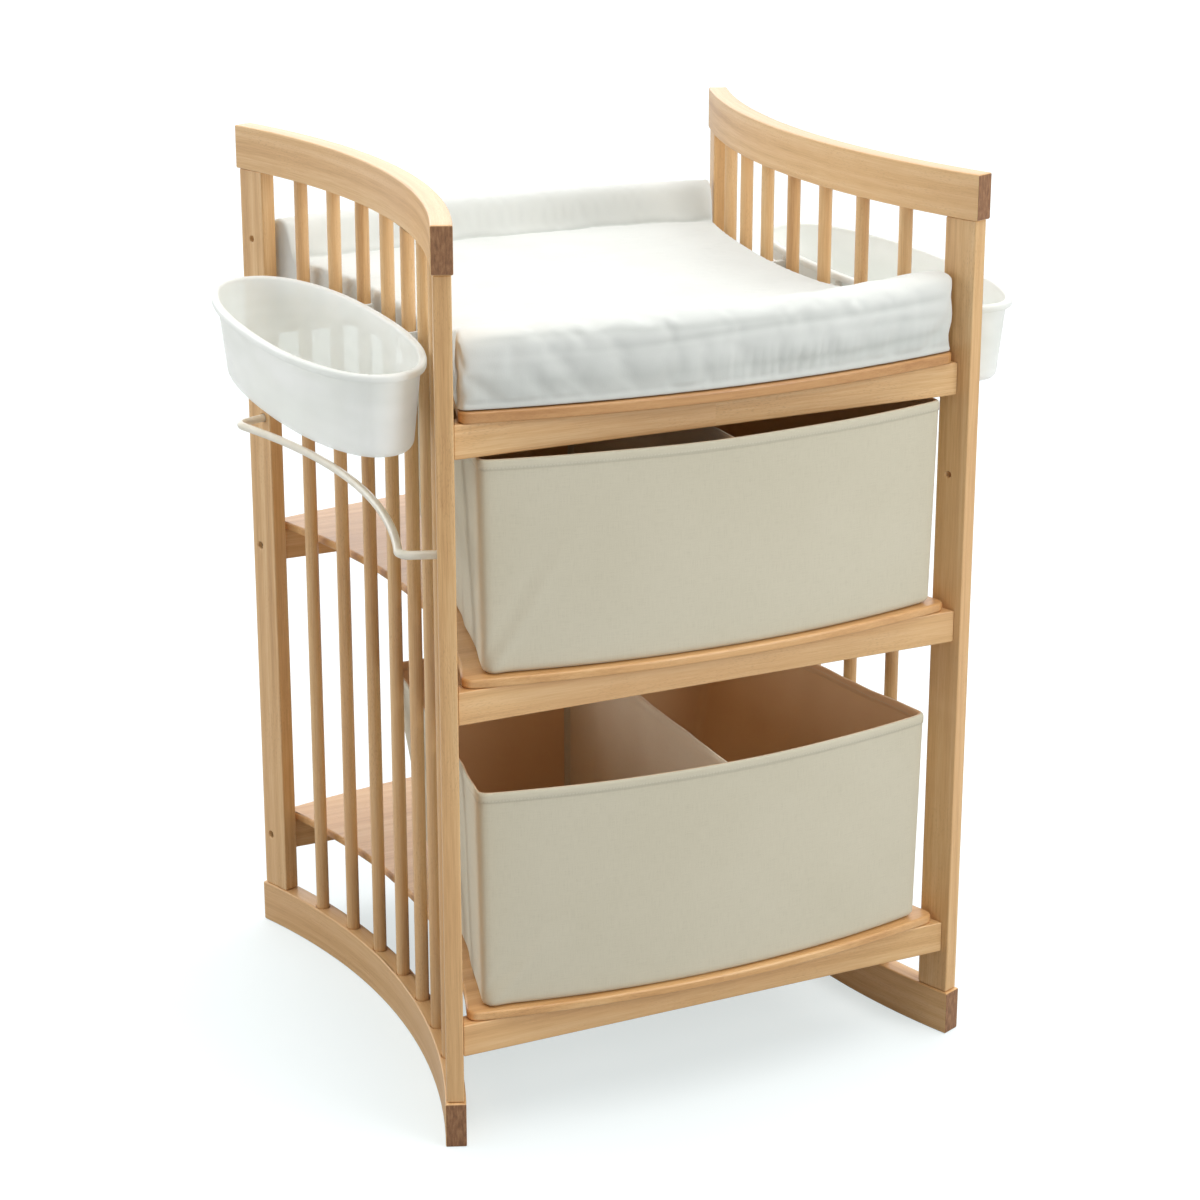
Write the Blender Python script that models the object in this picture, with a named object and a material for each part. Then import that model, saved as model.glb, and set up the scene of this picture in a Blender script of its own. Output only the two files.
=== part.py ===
"""Changing table: two bowed gables of bent rails, posts and dowels, joined by straight rails and
three boards, with two fabric boxes, a changing pad, two hanging bins and a towel bar.

Metres, +Z up. Origin on the floor, under the middle of the table. Front faces -Y, left gable at -X.
"""
import math

import bmesh
import bpy
from mathutils import Matrix, Vector

# ---------------------------------------------------------------- driving dimensions
HEIGHT = 0.980            # floor to the top of the gables
WIDTH = 0.622             # outer face of one gable's end to the other's
DEPTH = 0.595             # chord of a gable's outer face
GABLE_BOW = 0.057         # how far the middle of a gable is bowed towards the table
RAIL_THICK = 0.022        # gable rails
TOP_RAIL_H = 0.049
FOOT_RAIL_H = 0.050
POST_W = 0.039            # along the gable
POST_T = 0.018
DOWEL_R = 0.0075
DOWEL_PITCH = 0.067
DOWELS = 7
MORTISE_DEPTH = 0.012
GAP = 0.0003              # between touching pieces

CROSS_RAIL_T = 0.022      # straight rails between the posts
CROSS_RAIL_H = 0.0355
RAIL_FACE_Y = 0.2945      # front face of the mid and bottom rails
DECK_RAIL_FACE_Y = 0.2870
BOTTOM_RAIL_Z = 0.0985
MID_RAIL_Z = 0.4675
DECK_RAIL_Z = 0.7425

BOARD_T = 0.0098
DECK_T = 0.0120
BOARD_CORNER_Y = 0.2895   # where a board's bowed edge meets its side
BOARD_BOW = 0.0330
BOARD_SIDE_GAP = 0.0025

BOLT_R = 0.0030
BOLT_HEAD_R = 0.0037
BOLT_HEAD_L = 0.0050
BOLT_RECESS = 0.0030
BOLT_LENGTH = 0.042

BOX_FRONT_Y = 0.2880
BOX_BOW = 0.0310
BOX_REAR_Y = 0.1000
BOX_TOP_FRONT_HALF = 0.2635
BOX_TOP_REAR_HALF = 0.2120
BOX_FOOT_FRONT_HALF = 0.2605
BOX_FOOT_REAR_HALF = 0.1700
BOX_SIDE_SAG = 0.0035     # the fabric sides hollow a little between front and rear
BOX_WALL = 0.0040
BOX_FLOOR = 0.0030
UPPER_BOX_H = 0.2255
UPPER_BOX_X = 0.0035       # the boxes don't stand exactly in the middle
LOWER_BOX_X = -0.0020
LOWER_BOX_H = 0.2420
BASE_T = 0.0030
DIVIDER_T = 0.0040
DIVIDER_X = 0.0120
DIVIDER_DROP = 0.0070     # the divider's top edge below the box's rim

PAD_BOTTOM_CLEAR = 0.0006
PAD_SIDE_GAP = 0.0020

BIN_X = 0.3380            # centre of a bin's plan from the table's centre
BIN_Y = -0.0360
BIN_HALF_L = 0.2260
BIN_HALF_W = 0.0720
BIN_RIM_Z = 0.8300
BIN_H = 0.0880
BIN_WALL = 0.0026
BIN_TAPER = 0.0090
BIN_FLANGE = 0.0058
BIN_LIP = 0.0075
CLIP_Y = 0.067

BAR_R = 0.0045
BAR_Z = 0.6430
BAR_STANDOFF = 0.0360
BAR_LEG_DEG = 19.6

# ---------------------------------------------------------------- derived
ARC_R = (DEPTH * DEPTH / 4.0 + GABLE_BOW * GABLE_BOW) / (2.0 * GABLE_BOW)   # outer face
ARC_X = WIDTH / 2.0 - GABLE_BOW + ARC_R       # distance of the arc's centre from the table's centre
ARC_END = math.asin(DEPTH / 2.0 / ARC_R)
POST_OUT_R = ARC_R + 0.0020
POST_IN_R = POST_OUT_R + POST_T
POST_END = ARC_END - 0.0030 / ARC_R
POST_START = POST_END - POST_W / POST_OUT_R
POST_MID = (POST_START + POST_END) / 2.0
DOWEL_ARC_R = ARC_R + RAIL_THICK / 2.0
BOTTOM_BOARD_Z = BOTTOM_RAIL_Z + CROSS_RAIL_H + GAP
MID_BOARD_Z = MID_RAIL_Z + CROSS_RAIL_H + GAP
DECK_BOARD_Z = DECK_RAIL_Z + CROSS_RAIL_H + GAP


def clear_scene():
    for item in list(bpy.data.objects):
        bpy.data.objects.remove(item, do_unlink=True)


def make_material(name, colour, rough, metal=0.0, alpha=1.0):
    mat = bpy.data.materials.new(name)
    mat.use_nodes = True
    shader = mat.node_tree.nodes["Principled BSDF"]
    shader.inputs["Base Color"].default_value = (colour[0], colour[1], colour[2], 1.0)
    shader.inputs["Roughness"].default_value = rough
    shader.inputs["Metallic"].default_value = metal
    shader.inputs["Alpha"].default_value = alpha
    return mat


def slide_empty(name, location):
    """An empty on a slide's axis, which the pieces that slide together are parented to."""
    empty = bpy.data.objects.new(name, None)
    empty.empty_display_size = 0.05
    empty.location = location
    bpy.context.scene.collection.objects.link(empty)
    return empty


def hold(empty, obj):
    """Parents a piece to a slide's empty without moving it."""
    obj.parent = empty
    obj.matrix_parent_inverse = Matrix.Translation(-empty.location)


def add_object(name, bm, mat_args, smooth=False):
    bmesh.ops.recalc_face_normals(bm, faces=bm.faces)
    mesh = bpy.data.meshes.new(name)
    bm.to_mesh(mesh)
    bm.free()
    if smooth:
        mesh.shade_smooth()
        mesh.set_sharp_from_angle(angle=math.radians(35))
    obj = bpy.data.objects.new(name, mesh)
    bpy.context.scene.collection.objects.link(obj)
    mesh.materials.append(make_material(name + "_mat", *mat_args))
    return obj


BEECH = ((0.60, 0.37, 0.19), 0.45)
BEECH_BOARD = ((0.55, 0.32, 0.16), 0.42)
CANVAS = ((0.62, 0.58, 0.47), 0.90)
CANVAS_IN = ((0.60, 0.55, 0.44), 0.92)
BOARD_IN = ((0.45, 0.38, 0.28), 0.90)
COTTON = ((0.88, 0.90, 0.90), 0.88)
PLASTIC = ((0.90, 0.92, 0.91), 0.30)
LACQUER = ((0.88, 0.86, 0.80), 0.35)
STEEL = ((0.12, 0.11, 0.10), 0.40, 0.9)


def prism(points, z0, z1):
    """A closed upright prism over a plan polygon."""
    bm = bmesh.new()
    low = [bm.verts.new((x, y, z0)) for x, y in points]
    high = [bm.verts.new((x, y, z1)) for x, y in points]
    n = len(points)
    bm.faces.new(list(reversed(low)))
    bm.faces.new(high)
    for i in range(n):
        bm.faces.new((low[i], low[(i + 1) % n], high[(i + 1) % n], high[i]))
    return bm


def polar(radius, angle, side):
    """Plan point on the arc of the left (-1) or right (+1) gable; angle is positive to the rear."""
    return (side * (ARC_X - radius * math.cos(angle)), radius * math.sin(angle))


def arc_x(y, radius):
    """Distance from the table's centre of an arc about the gable's centre, at depth y."""
    return ARC_X - math.sqrt(radius * radius - y * y)


def cutter_cylinder(name, start, end, radius, sides=16):
    start, end = Vector(start), Vector(end)
    run = end - start
    bm = bmesh.new()
    spin = run.to_track_quat("Z", "Y").to_matrix().to_4x4()
    bmesh.ops.create_cone(
        bm, cap_ends=True, segments=sides, radius1=radius, radius2=radius, depth=run.length,
        matrix=Matrix.Translation((start + end) / 2.0) @ spin)
    obj = add_object(name, bm, BEECH)
    obj.hide_render = True
    obj.display_type = "WIRE"
    return obj


def cut(target, cutters):
    """Cuts the cylinders out of the target with exact booleans that stay on the object."""
    for i, tool in enumerate(cutters):
        mod = target.modifiers.new("hole_%d" % i, "BOOLEAN")
        mod.operation = "DIFFERENCE"
        mod.solver = "EXACT"
        mod.object = tool


# ---------------------------------------------------------------- gables
def curved_rail(name, side, z0, z1, mortise_top):
    steps = 28
    outer = [polar(ARC_R, -ARC_END + 2 * ARC_END * i / steps, side) for i in range(steps + 1)]
    inner = [polar(ARC_R + RAIL_THICK, -ARC_END + 2 * ARC_END * i / steps, side) for i in range(steps + 1)]
    obj = add_object(name, prism(outer + inner[::-1], z0, z1), BEECH)
    face = z1 if mortise_top else z0
    sign = -1 if mortise_top else 1
    tools = []
    for k in range(DOWELS):
        x, y = dowel_plan(k, side)
        tools.append(cutter_cylinder("%s_cut_%d" % (name, k), (x, y, face - sign * 0.004),
                                     (x, y, face + sign * MORTISE_DEPTH), DOWEL_R + GAP, 16))
    cut(obj, tools)
    return obj


def dowel_plan(k, side):
    y = (k - (DOWELS - 1) / 2.0) * DOWEL_PITCH
    return polar(DOWEL_ARC_R, math.asin(y / DOWEL_ARC_R), side)


def dowel(name, k, side):
    x, y = dowel_plan(k, side)
    z0 = FOOT_RAIL_H - MORTISE_DEPTH + GAP
    z1 = HEIGHT - TOP_RAIL_H + MORTISE_DEPTH - GAP
    bm = bmesh.new()
    bmesh.ops.create_cone(bm, cap_ends=True, segments=16, radius1=DOWEL_R, radius2=DOWEL_R,
                          depth=z1 - z0, matrix=Matrix.Translation((0, 0, (z1 - z0) / 2.0)))
    obj = add_object(name, bm, BEECH, smooth=True)
    obj.location = (x, y, z0)
    return obj


def post(name, side, end):
    """end is -1 for the front post and +1 for the rear post."""
    corners = [polar(POST_OUT_R, end * POST_START, side), polar(POST_OUT_R, end * POST_END, side),
               polar(POST_IN_R, end * POST_END, side), polar(POST_IN_R, end * POST_START, side)]
    return add_object(name, prism(corners, FOOT_RAIL_H + GAP, HEIGHT - TOP_RAIL_H - GAP), BEECH)


def post_face_x(y, radius_points):
    """Distance from the centre of a post's flat face at depth |y|; the face is the chord between its corners."""
    (x0, y0), (x1, y1) = radius_points
    return x0 + (x1 - x0) * (abs(y) - y0) / (y1 - y0)


def post_inner_face():
    a = polar(POST_IN_R, POST_START, 1)
    b = polar(POST_IN_R, POST_END, 1)
    return (a, b)


def post_outer_face():
    a = polar(POST_OUT_R, POST_START, 1)
    b = polar(POST_OUT_R, POST_END, 1)
    return (a, b)


# ---------------------------------------------------------------- cross rails and boards
def cross_rail(name, z, face_y, end):
    """A straight rail whose ends are cut to the slant of the posts."""
    y_out, y_in = face_y, face_y - CROSS_RAIL_T
    xo = post_face_x(y_out, post_inner_face()) - GAP / math.cos(POST_MID)
    xi = post_face_x(y_in, post_inner_face()) - GAP / math.cos(POST_MID)
    pts = [(-xo, end * y_out), (xo, end * y_out), (xi, end * y_in), (-xi, end * y_in)]
    return add_object(name, prism(pts, z, z + CROSS_RAIL_H), BEECH)


def round_corner(prev, corner, nxt, radius, steps=4):
    """Points of a fillet at a plan corner."""
    p, c, n = Vector(prev), Vector(corner), Vector(nxt)
    a, b = (p - c).normalized(), (n - c).normalized()
    half = math.acos(max(-1.0, min(1.0, a.dot(b)))) / 2.0
    run = radius / math.tan(half)
    centre = c + (a + b).normalized() * (radius / math.sin(half))
    start, end = c + a * run - centre, c + b * run - centre
    total = start.angle_signed(end)
    out = []
    for i in range(steps + 1):
        ang = -total * i / steps
        v = Vector((start.x * math.cos(ang) - start.y * math.sin(ang),
                    start.x * math.sin(ang) + start.y * math.cos(ang)))
        out.append(tuple(centre + v))
    return out


def board_outline(side_radius, corner_y, bow, corner_r=0.011):
    """Plan of a board: front and rear edges bowed out, sides hollowed to the gables."""
    half = arc_x(corner_y, side_radius)
    front = [(-half + 2 * half * i / 20, -corner_y - bow * (1 - (-1 + 2 * i / 20.0) ** 2)) for i in range(21)]
    right = []
    n = 14
    for i in range(1, n):
        y = -corner_y + 2 * corner_y * i / n
        right.append((arc_x(y, side_radius), y))
    rear = [(-x, -y) for x, y in front]
    left = [(-x, -y) for x, y in right]
    ring = []
    ring += round_corner(left[-1], front[0], front[1], corner_r)
    ring += front[1:-1]
    ring += round_corner(front[-2], front[-1], right[0], corner_r)
    ring += right
    ring += round_corner(right[-1], rear[0], rear[1], corner_r)
    ring += rear[1:-1]
    ring += round_corner(rear[-2], rear[-1], left[0], corner_r)
    ring += left
    return ring


def board(name, z, thick):
    ring = board_outline(ARC_R + RAIL_THICK + BOARD_SIDE_GAP, BOARD_CORNER_Y, BOARD_BOW)
    return add_object(name, prism(ring, z, z + thick), BEECH_BOARD)


# ---------------------------------------------------------------- bolts
def bolt(name, side, end, y, z):
    """Socket bolt along X through a post into the end of a cross rail."""
    x_face = post_face_x(y, post_outer_face())
    head_x = x_face - BOLT_RECESS - 0.0010
    profile = [(0.0, 0.0), (BOLT_HEAD_R, 0.0), (BOLT_HEAD_R, -BOLT_HEAD_L), (BOLT_R, -BOLT_HEAD_L),
               (BOLT_R, -BOLT_LENGTH), (0.0, -BOLT_LENGTH)]
    bm = bmesh.new()
    sides = 12
    rings = []
    for r, h in profile[1:-1]:
        rings.append([bm.verts.new((side * (head_x + h), y * end + r * math.cos(2 * math.pi * k / sides),
                                    z + r * math.sin(2 * math.pi * k / sides))) for k in range(sides)])
    # hexagon socket in the head
    socket = [bm.verts.new((side * head_x, y * end + 0.0020 * math.cos(2 * math.pi * k / 6),
                            z + 0.0020 * math.sin(2 * math.pi * k / 6))) for k in range(6)]
    floor = [bm.verts.new((side * (head_x - 0.0026), y * end + 0.0020 * math.cos(2 * math.pi * k / 6),
                           z + 0.0020 * math.sin(2 * math.pi * k / 6))) for k in range(6)]
    for k in range(6):
        bm.faces.new((socket[k], socket[(k + 1) % 6], floor[(k + 1) % 6], floor[k]))
        bm.faces.new((rings[0][2 * k], rings[0][2 * k + 1], socket[k]))
        bm.faces.new((rings[0][2 * k + 1], rings[0][(2 * k + 2) % sides], socket[(k + 1) % 6], socket[k]))
    bm.faces.new(floor)
    for a, b in zip(rings[:-1], rings[1:]):
        for k in range(sides):
            bm.faces.new((a[k], a[(k + 1) % sides], b[(k + 1) % sides], b[k]))
    bm.faces.new(rings[-1])
    return add_object(name, bm, STEEL)


def bolt_cutters(name, side, end, y, z):
    x_out = post_face_x(y, post_outer_face())
    head_x = x_out - BOLT_RECESS - 0.0010
    wide_end = head_x - BOLT_HEAD_L - 0.0006
    wide = cutter_cylinder(name + "_wide", (side * (x_out + 0.02), end * y, z), (side * wide_end, end * y, z),
                           BOLT_HEAD_R + 0.0004, 16)
    deep = head_x - BOLT_LENGTH - 0.0008
    thin = cutter_cylinder(name + "_thin", (side * (wide_end + 0.002), end * y, z), (side * deep, end * y, z),
                           BOLT_R + 0.0004, 16)
    return wide, thin


# ---------------------------------------------------------------- fabric boxes
def box_ring(front_half, rear_half, front_y, bow, rear_y, inset):
    """Plan of a box: bowed front, tapering and slightly hollow sides, straight rear."""
    f, r = front_half - inset, rear_half - inset
    y0, y1 = front_y - inset, rear_y - inset
    steps = 12
    front = [(-f + 2 * f * i / steps, -y0 - bow * (1 - (-1 + 2.0 * i / steps) ** 2)) for i in range(steps + 1)]
    right = []
    for u in (0.25, 0.5, 0.75):
        x = f + (r - f) * u - BOX_SIDE_SAG * 4 * u * (1 - u)
        right.append((x, -y0 + (y1 + y0) * u))
    left = [(-x, y) for x, y in reversed(right)]
    return front + right + [(r, y1), (-r, y1)] + left


def loft(rings_z, close_ends):
    bm = bmesh.new()
    rings = [[bm.verts.new((x, y, z)) for x, y in ring] for ring, z in rings_z]
    n = len(rings[0])
    for a, b in zip(rings[:-1], rings[1:]):
        for i in range(n):
            bm.faces.new((a[i], a[(i + 1) % n], b[(i + 1) % n], b[i]))
    if close_ends:
        bm.faces.new(list(reversed(rings[0])))
        bm.faces.new(rings[-1])
    return bm


def box_at(z_frac, inset):
    """Outline of a box at a fraction of its height."""
    f = BOX_FOOT_FRONT_HALF + (BOX_TOP_FRONT_HALF - BOX_FOOT_FRONT_HALF) * z_frac
    r = BOX_FOOT_REAR_HALF + (BOX_TOP_REAR_HALF - BOX_FOOT_REAR_HALF) * z_frac
    fy = BOX_FRONT_Y - 0.003 * (1 - z_frac)
    return box_ring(f, r, fy, BOX_BOW, BOX_REAR_Y, inset)


def fabric_box(prefix, x_mid, z0, height):
    slide = slide_empty(prefix + "_box_slide", (x_mid, -BOX_FRONT_Y - BOX_BOW, z0))
    outer = [(box_at(t, 0.0), z0 + height * t) for t in (0.0, 0.5, 1.0)]
    t_floor = BOX_FLOOR / height
    inner = [(box_at(t, BOX_WALL), z0 + height * t) for t in (1.0, 0.5, t_floor)]
    shell = add_object(prefix + "_box_shell", loft(outer + inner, True), CANVAS)
    zb = z0 + BOX_FLOOR + GAP
    base = [(box_at((z - z0) / height, BOX_WALL + 0.0012), z) for z in (zb, zb + BASE_T)]
    base_board = add_object(prefix + "_box_base", loft(base, True), BOARD_IN)
    # divider: a panel from front to rear, standing on the base board
    zd = zb + BASE_T + GAP
    top = z0 + height - DIVIDER_DROP
    bm = bmesh.new()
    def front_at(x, z):
        t = (z - z0) / height
        f = BOX_FOOT_FRONT_HALF + (BOX_TOP_FRONT_HALF - BOX_FOOT_FRONT_HALF) * t - BOX_WALL
        y0 = BOX_FRONT_Y - 0.003 * (1 - t) - BOX_WALL
        return -y0 - BOX_BOW * (1 - (x / f) ** 2)
    xs = (DIVIDER_X - DIVIDER_T / 2, DIVIDER_X + DIVIDER_T / 2)
    rear = BOX_REAR_Y - BOX_WALL - 0.0006
    low = [bm.verts.new(p) for p in ((xs[0], front_at(xs[0], zd) + 0.0012, zd), (xs[1], front_at(xs[1], zd) + 0.0012, zd),
                                     (xs[1], rear, zd), (xs[0], rear, zd))]
    high = [bm.verts.new(p) for p in ((xs[0], front_at(xs[0], top) + 0.0012, top), (xs[1], front_at(xs[1], top) + 0.0012, top),
                                      (xs[1], rear, top), (xs[0], rear, top))]
    bm.faces.new(low[::-1])
    bm.faces.new(high)
    for i in range(4):
        bm.faces.new((low[i], low[(i + 1) % 4], high[(i + 1) % 4], high[i]))
    divider = add_object(prefix + "_box_divider", bm, CANVAS_IN)
    for piece in (shell, base_board, divider):
        piece.location.x = x_mid
        hold(slide, piece)


# ---------------------------------------------------------------- changing pad
def pad_profile(t):
    """Height of the pad's top above its underside, from the front (t = 0) to the rear (t = 1)."""
    knots = [(0.0, 0.064), (0.012, 0.076), (0.03, 0.0815), (0.055, 0.0825), (0.10, 0.0755), (0.17, 0.058),
             (0.24, 0.0435), (0.32, 0.0385), (0.50, 0.0370), (0.80, 0.0395), (0.90, 0.0440), (0.925, 0.0480),
             (0.937, 0.066), (0.950, 0.0785), (0.968, 0.0845), (0.986, 0.0810), (1.0, 0.069)]
    for (t0, h0), (t1, h1) in zip(knots[:-1], knots[1:]):
        if t <= t1:
            return h0 + (h1 - h0) * (t - t0) / (t1 - t0)
    return knots[-1][1]


PAD_STATIONS = (0.0, 0.012, 0.03, 0.055, 0.10, 0.17, 0.24, 0.32, 0.44, 0.56, 0.68, 0.80, 0.90, 0.925,
                0.937, 0.950, 0.968, 0.986, 1.0)


def changing_pad():
    z0 = DECK_BOARD_Z + DECK_T + PAD_BOTTOM_CLEAR
    radius = ARC_R + RAIL_THICK + PAD_SIDE_GAP
    edge = 0.2865
    cols = 16
    bm = bmesh.new()
    top, low = [], []
    for t in PAD_STATIONS:
        row_t, row_l = [], []
        for i in range(cols + 1):
            s = -1 + 2.0 * i / cols
            bulge = 0.0315 * (1 - s * s)
            y = (-edge - bulge) * (1 - t) + (edge + bulge) * t
            half = arc_x(max(-edge, min(edge, y)), radius)
            row_t.append(bm.verts.new((s * half, y, z0 + pad_profile(t))))
            row_l.append(bm.verts.new((s * half, y, z0)))
        top.append(row_t)
        low.append(row_l)
    n = len(PAD_STATIONS)
    for a in range(n - 1):
        for i in range(cols):
            bm.faces.new((top[a][i], top[a][i + 1], top[a + 1][i + 1], top[a + 1][i]))
            bm.faces.new((low[a][i], low[a + 1][i], low[a + 1][i + 1], low[a][i + 1]))
        bm.faces.new((low[a][0], top[a][0], top[a + 1][0], low[a + 1][0]))
        bm.faces.new((low[a][cols], low[a + 1][cols], top[a + 1][cols], top[a][cols]))
    for i in range(cols):
        bm.faces.new((low[0][i], low[0][i + 1], top[0][i + 1], top[0][i]))
        bm.faces.new((low[-1][i], top[-1][i], top[-1][i + 1], low[-1][i + 1]))
    pad = add_object("changing_pad", bm, COTTON)
    hold(slide_empty("pad_lift", (0.0, 0.0, z0)), pad)


# ---------------------------------------------------------------- bins, clips, towel bar
def bin_ring(side, grow, steps=40):
    pts = []
    power = 2.0 / 2.25
    for i in range(steps):
        a = 2 * math.pi * i / steps
        c, s = math.cos(a), math.sin(a)
        x = (BIN_HALF_W + grow) * math.copysign(abs(c) ** power, c)
        y = (BIN_HALF_L + grow) * math.copysign(abs(s) ** power, s)
        pts.append((side * BIN_X + x, BIN_Y + y))
    return pts


def hanging_bin(name, side):
    z1 = BIN_RIM_Z
    z0 = BIN_RIM_Z - BIN_H
    lip = BIN_FLANGE
    wall = BIN_WALL
    rings = [
        (bin_ring(side, -BIN_TAPER - 0.006), z0),
        (bin_ring(side, -BIN_TAPER), z0 + 0.006),
        (bin_ring(side, 0.0), z1 - wall),
        (bin_ring(side, lip - 0.0016), z1 - wall),
        (bin_ring(side, lip - 0.0016), z1 - BIN_LIP),
        (bin_ring(side, lip), z1 - BIN_LIP),
        (bin_ring(side, lip), z1),
        (bin_ring(side, -wall), z1),
        (bin_ring(side, -BIN_TAPER - wall), z0 + 0.0075),
        (bin_ring(side, -BIN_TAPER - 0.006 - wall), z0 + wall),
    ]
    tub = add_object(name, loft(rings, True), PLASTIC, smooth=True)
    hold(slide_empty(name + "_lift", (side * BIN_X, BIN_Y, z0)), tub)


def bin_clip(name, side, y_sign):
    """A ring round a dowel with an arm and a tongue that stands in the bin's rim."""
    y = CLIP_Y * y_sign
    dx, dy = polar(DOWEL_ARC_R, math.asin(y / DOWEL_ARC_R), side)
    # where the bin's wall is at this depth, on the side that faces the gable
    rel = (dy - BIN_Y) / BIN_HALF_L
    wall_x = BIN_X - BIN_HALF_W * (1 - abs(rel) ** 2.25) ** (1 / 2.25)
    # outward normal of the bin's outline there, in plan
    slope = (BIN_HALF_W / BIN_HALF_L) * (abs(rel) ** 1.25) * (1 - abs(rel) ** 2.25) ** (1 / 2.25 - 1) * math.copysign(1, rel)
    normal = Vector((-side, slope)).normalized()
    along = Vector((-normal.y, normal.x))
    mid = (BIN_FLANGE - 0.0016) / 2.0
    tongue_c = Vector((side * wall_x, dy)) + normal * mid
    zc0, zc1 = BIN_RIM_Z - 0.0260, BIN_RIM_Z - 0.0110
    top = BIN_RIM_Z - BIN_WALL - 0.0004
    # ring
    bm = bmesh.new()
    sides = 16
    gap = math.radians(48)
    ring_out, ring_in = [], []
    face_in = 0.0 if side < 0 else math.pi
    for i in range(sides + 1):
        a = face_in + gap + (2 * math.pi - 2 * gap) * i / sides
        ring_out.append((dx + 0.0108 * math.cos(a), dy + 0.0108 * math.sin(a)))
        ring_in.append((dx + (DOWEL_R + 0.0004) * math.cos(a), dy + (DOWEL_R + 0.0004) * math.sin(a)))
    body = prism(ring_out + ring_in[::-1], zc0, zc1)
    obj = add_object(name, body, PLASTIC)
    # arm from the ring to the tongue, and the tongue, joined to the ring with a union
    a0 = Vector((dx + side * 0.0090, dy))
    width = 0.0045
    arm_pts = []
    direction = (tongue_c - a0).normalized()
    sidew = Vector((-direction.y, direction.x)) * width
    far = tongue_c + direction * 0.0004
    for p in (a0 - sidew, far - sidew, far + sidew, a0 + sidew):
        arm_pts.append(tuple(p))
    arm = add_object(name + "_arm", prism(arm_pts, zc0 + 0.002, zc1 - 0.002), PLASTIC)
    half_t = 0.0011
    half_w = 0.0060
    t_pts = [tuple(tongue_c + along * sx * half_w + normal * sn * half_t) for sx, sn in ((-1, -1), (1, -1), (1, 1), (-1, 1))]
    tongue = add_object(name + "_tongue", prism(t_pts, zc0 + 0.001, top), PLASTIC)
    for k, tool in enumerate((arm, tongue)):
        tool.hide_render = True
        tool.display_type = "WIRE"
        mod = obj.modifiers.new("join_%d" % k, "BOOLEAN")
        mod.operation = "UNION"
        mod.solver = "EXACT"
        mod.object = tool
    return obj


def towel_bar():
    """A bent bar parallel to the gable, with radial legs set into the posts."""
    run_r = ARC_R - BAR_STANDOFF
    leg = math.radians(BAR_LEG_DEG)
    post_r = POST_OUT_R + 0.0060
    bend = 0.013
    pts = []
    for end in (-1, 1):
        half = []
        half.append(polar(post_r, end * leg, -1))
        half.append(polar(run_r + bend, end * leg, -1))
        for i in range(1, 6):
            q = math.pi / 2 * i / 6
            r = run_r + bend - bend * math.sin(q)
            a = leg - (bend - bend * math.cos(q)) / run_r
            half.append(polar(r, end * a, -1))
        if end == -1:
            pts += half
            first = leg - bend / run_r
            n = 20
            for i in range(n + 1):
                pts.append(polar(run_r, -first + 2 * first * i / n, -1))
        else:
            pts += half[::-1]
    curve = bpy.data.curves.new("towel_bar", "CURVE")
    curve.dimensions = "3D"
    curve.bevel_depth = BAR_R
    curve.bevel_resolution = 2
    curve.use_fill_caps = True
    line = curve.splines.new("POLY")
    line.points.add(len(pts) - 1)
    for p, (x, y) in zip(line.points, pts):
        p.co = (x, y, 0.0, 1.0)
    obj = bpy.data.objects.new("towel_bar", curve)
    obj.location = (0, 0, BAR_Z)
    bpy.context.scene.collection.objects.link(obj)
    curve.materials.append(make_material("towel_bar_mat", *LACQUER))
    return obj


def bar_cutters(name, side, end):
    leg = math.radians(BAR_LEG_DEG)
    x0, y0 = polar(POST_OUT_R - 0.010, end * leg, side)
    x1, y1 = polar(POST_OUT_R + 0.0068, end * leg, side)
    return cutter_cylinder(name, (x0, y0, BAR_Z), (x1, y1, BAR_Z), BAR_R + 0.0005, 16)


def spare_hole(name, side, end, z, from_inside):
    """A blind hole that isn't used in this build of the table."""
    y = 0.2790
    if from_inside:
        x = post_face_x(y, post_inner_face())
        return cutter_cylinder(name, (side * (x - 0.01), end * y, z), (side * (x + 0.009), end * y, z), 0.0034, 12)
    x = post_face_x(y, post_outer_face())
    return cutter_cylinder(name, (side * (x + 0.01), end * y, z), (side * (x - 0.010), end * y, z), 0.0034, 12)


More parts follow.
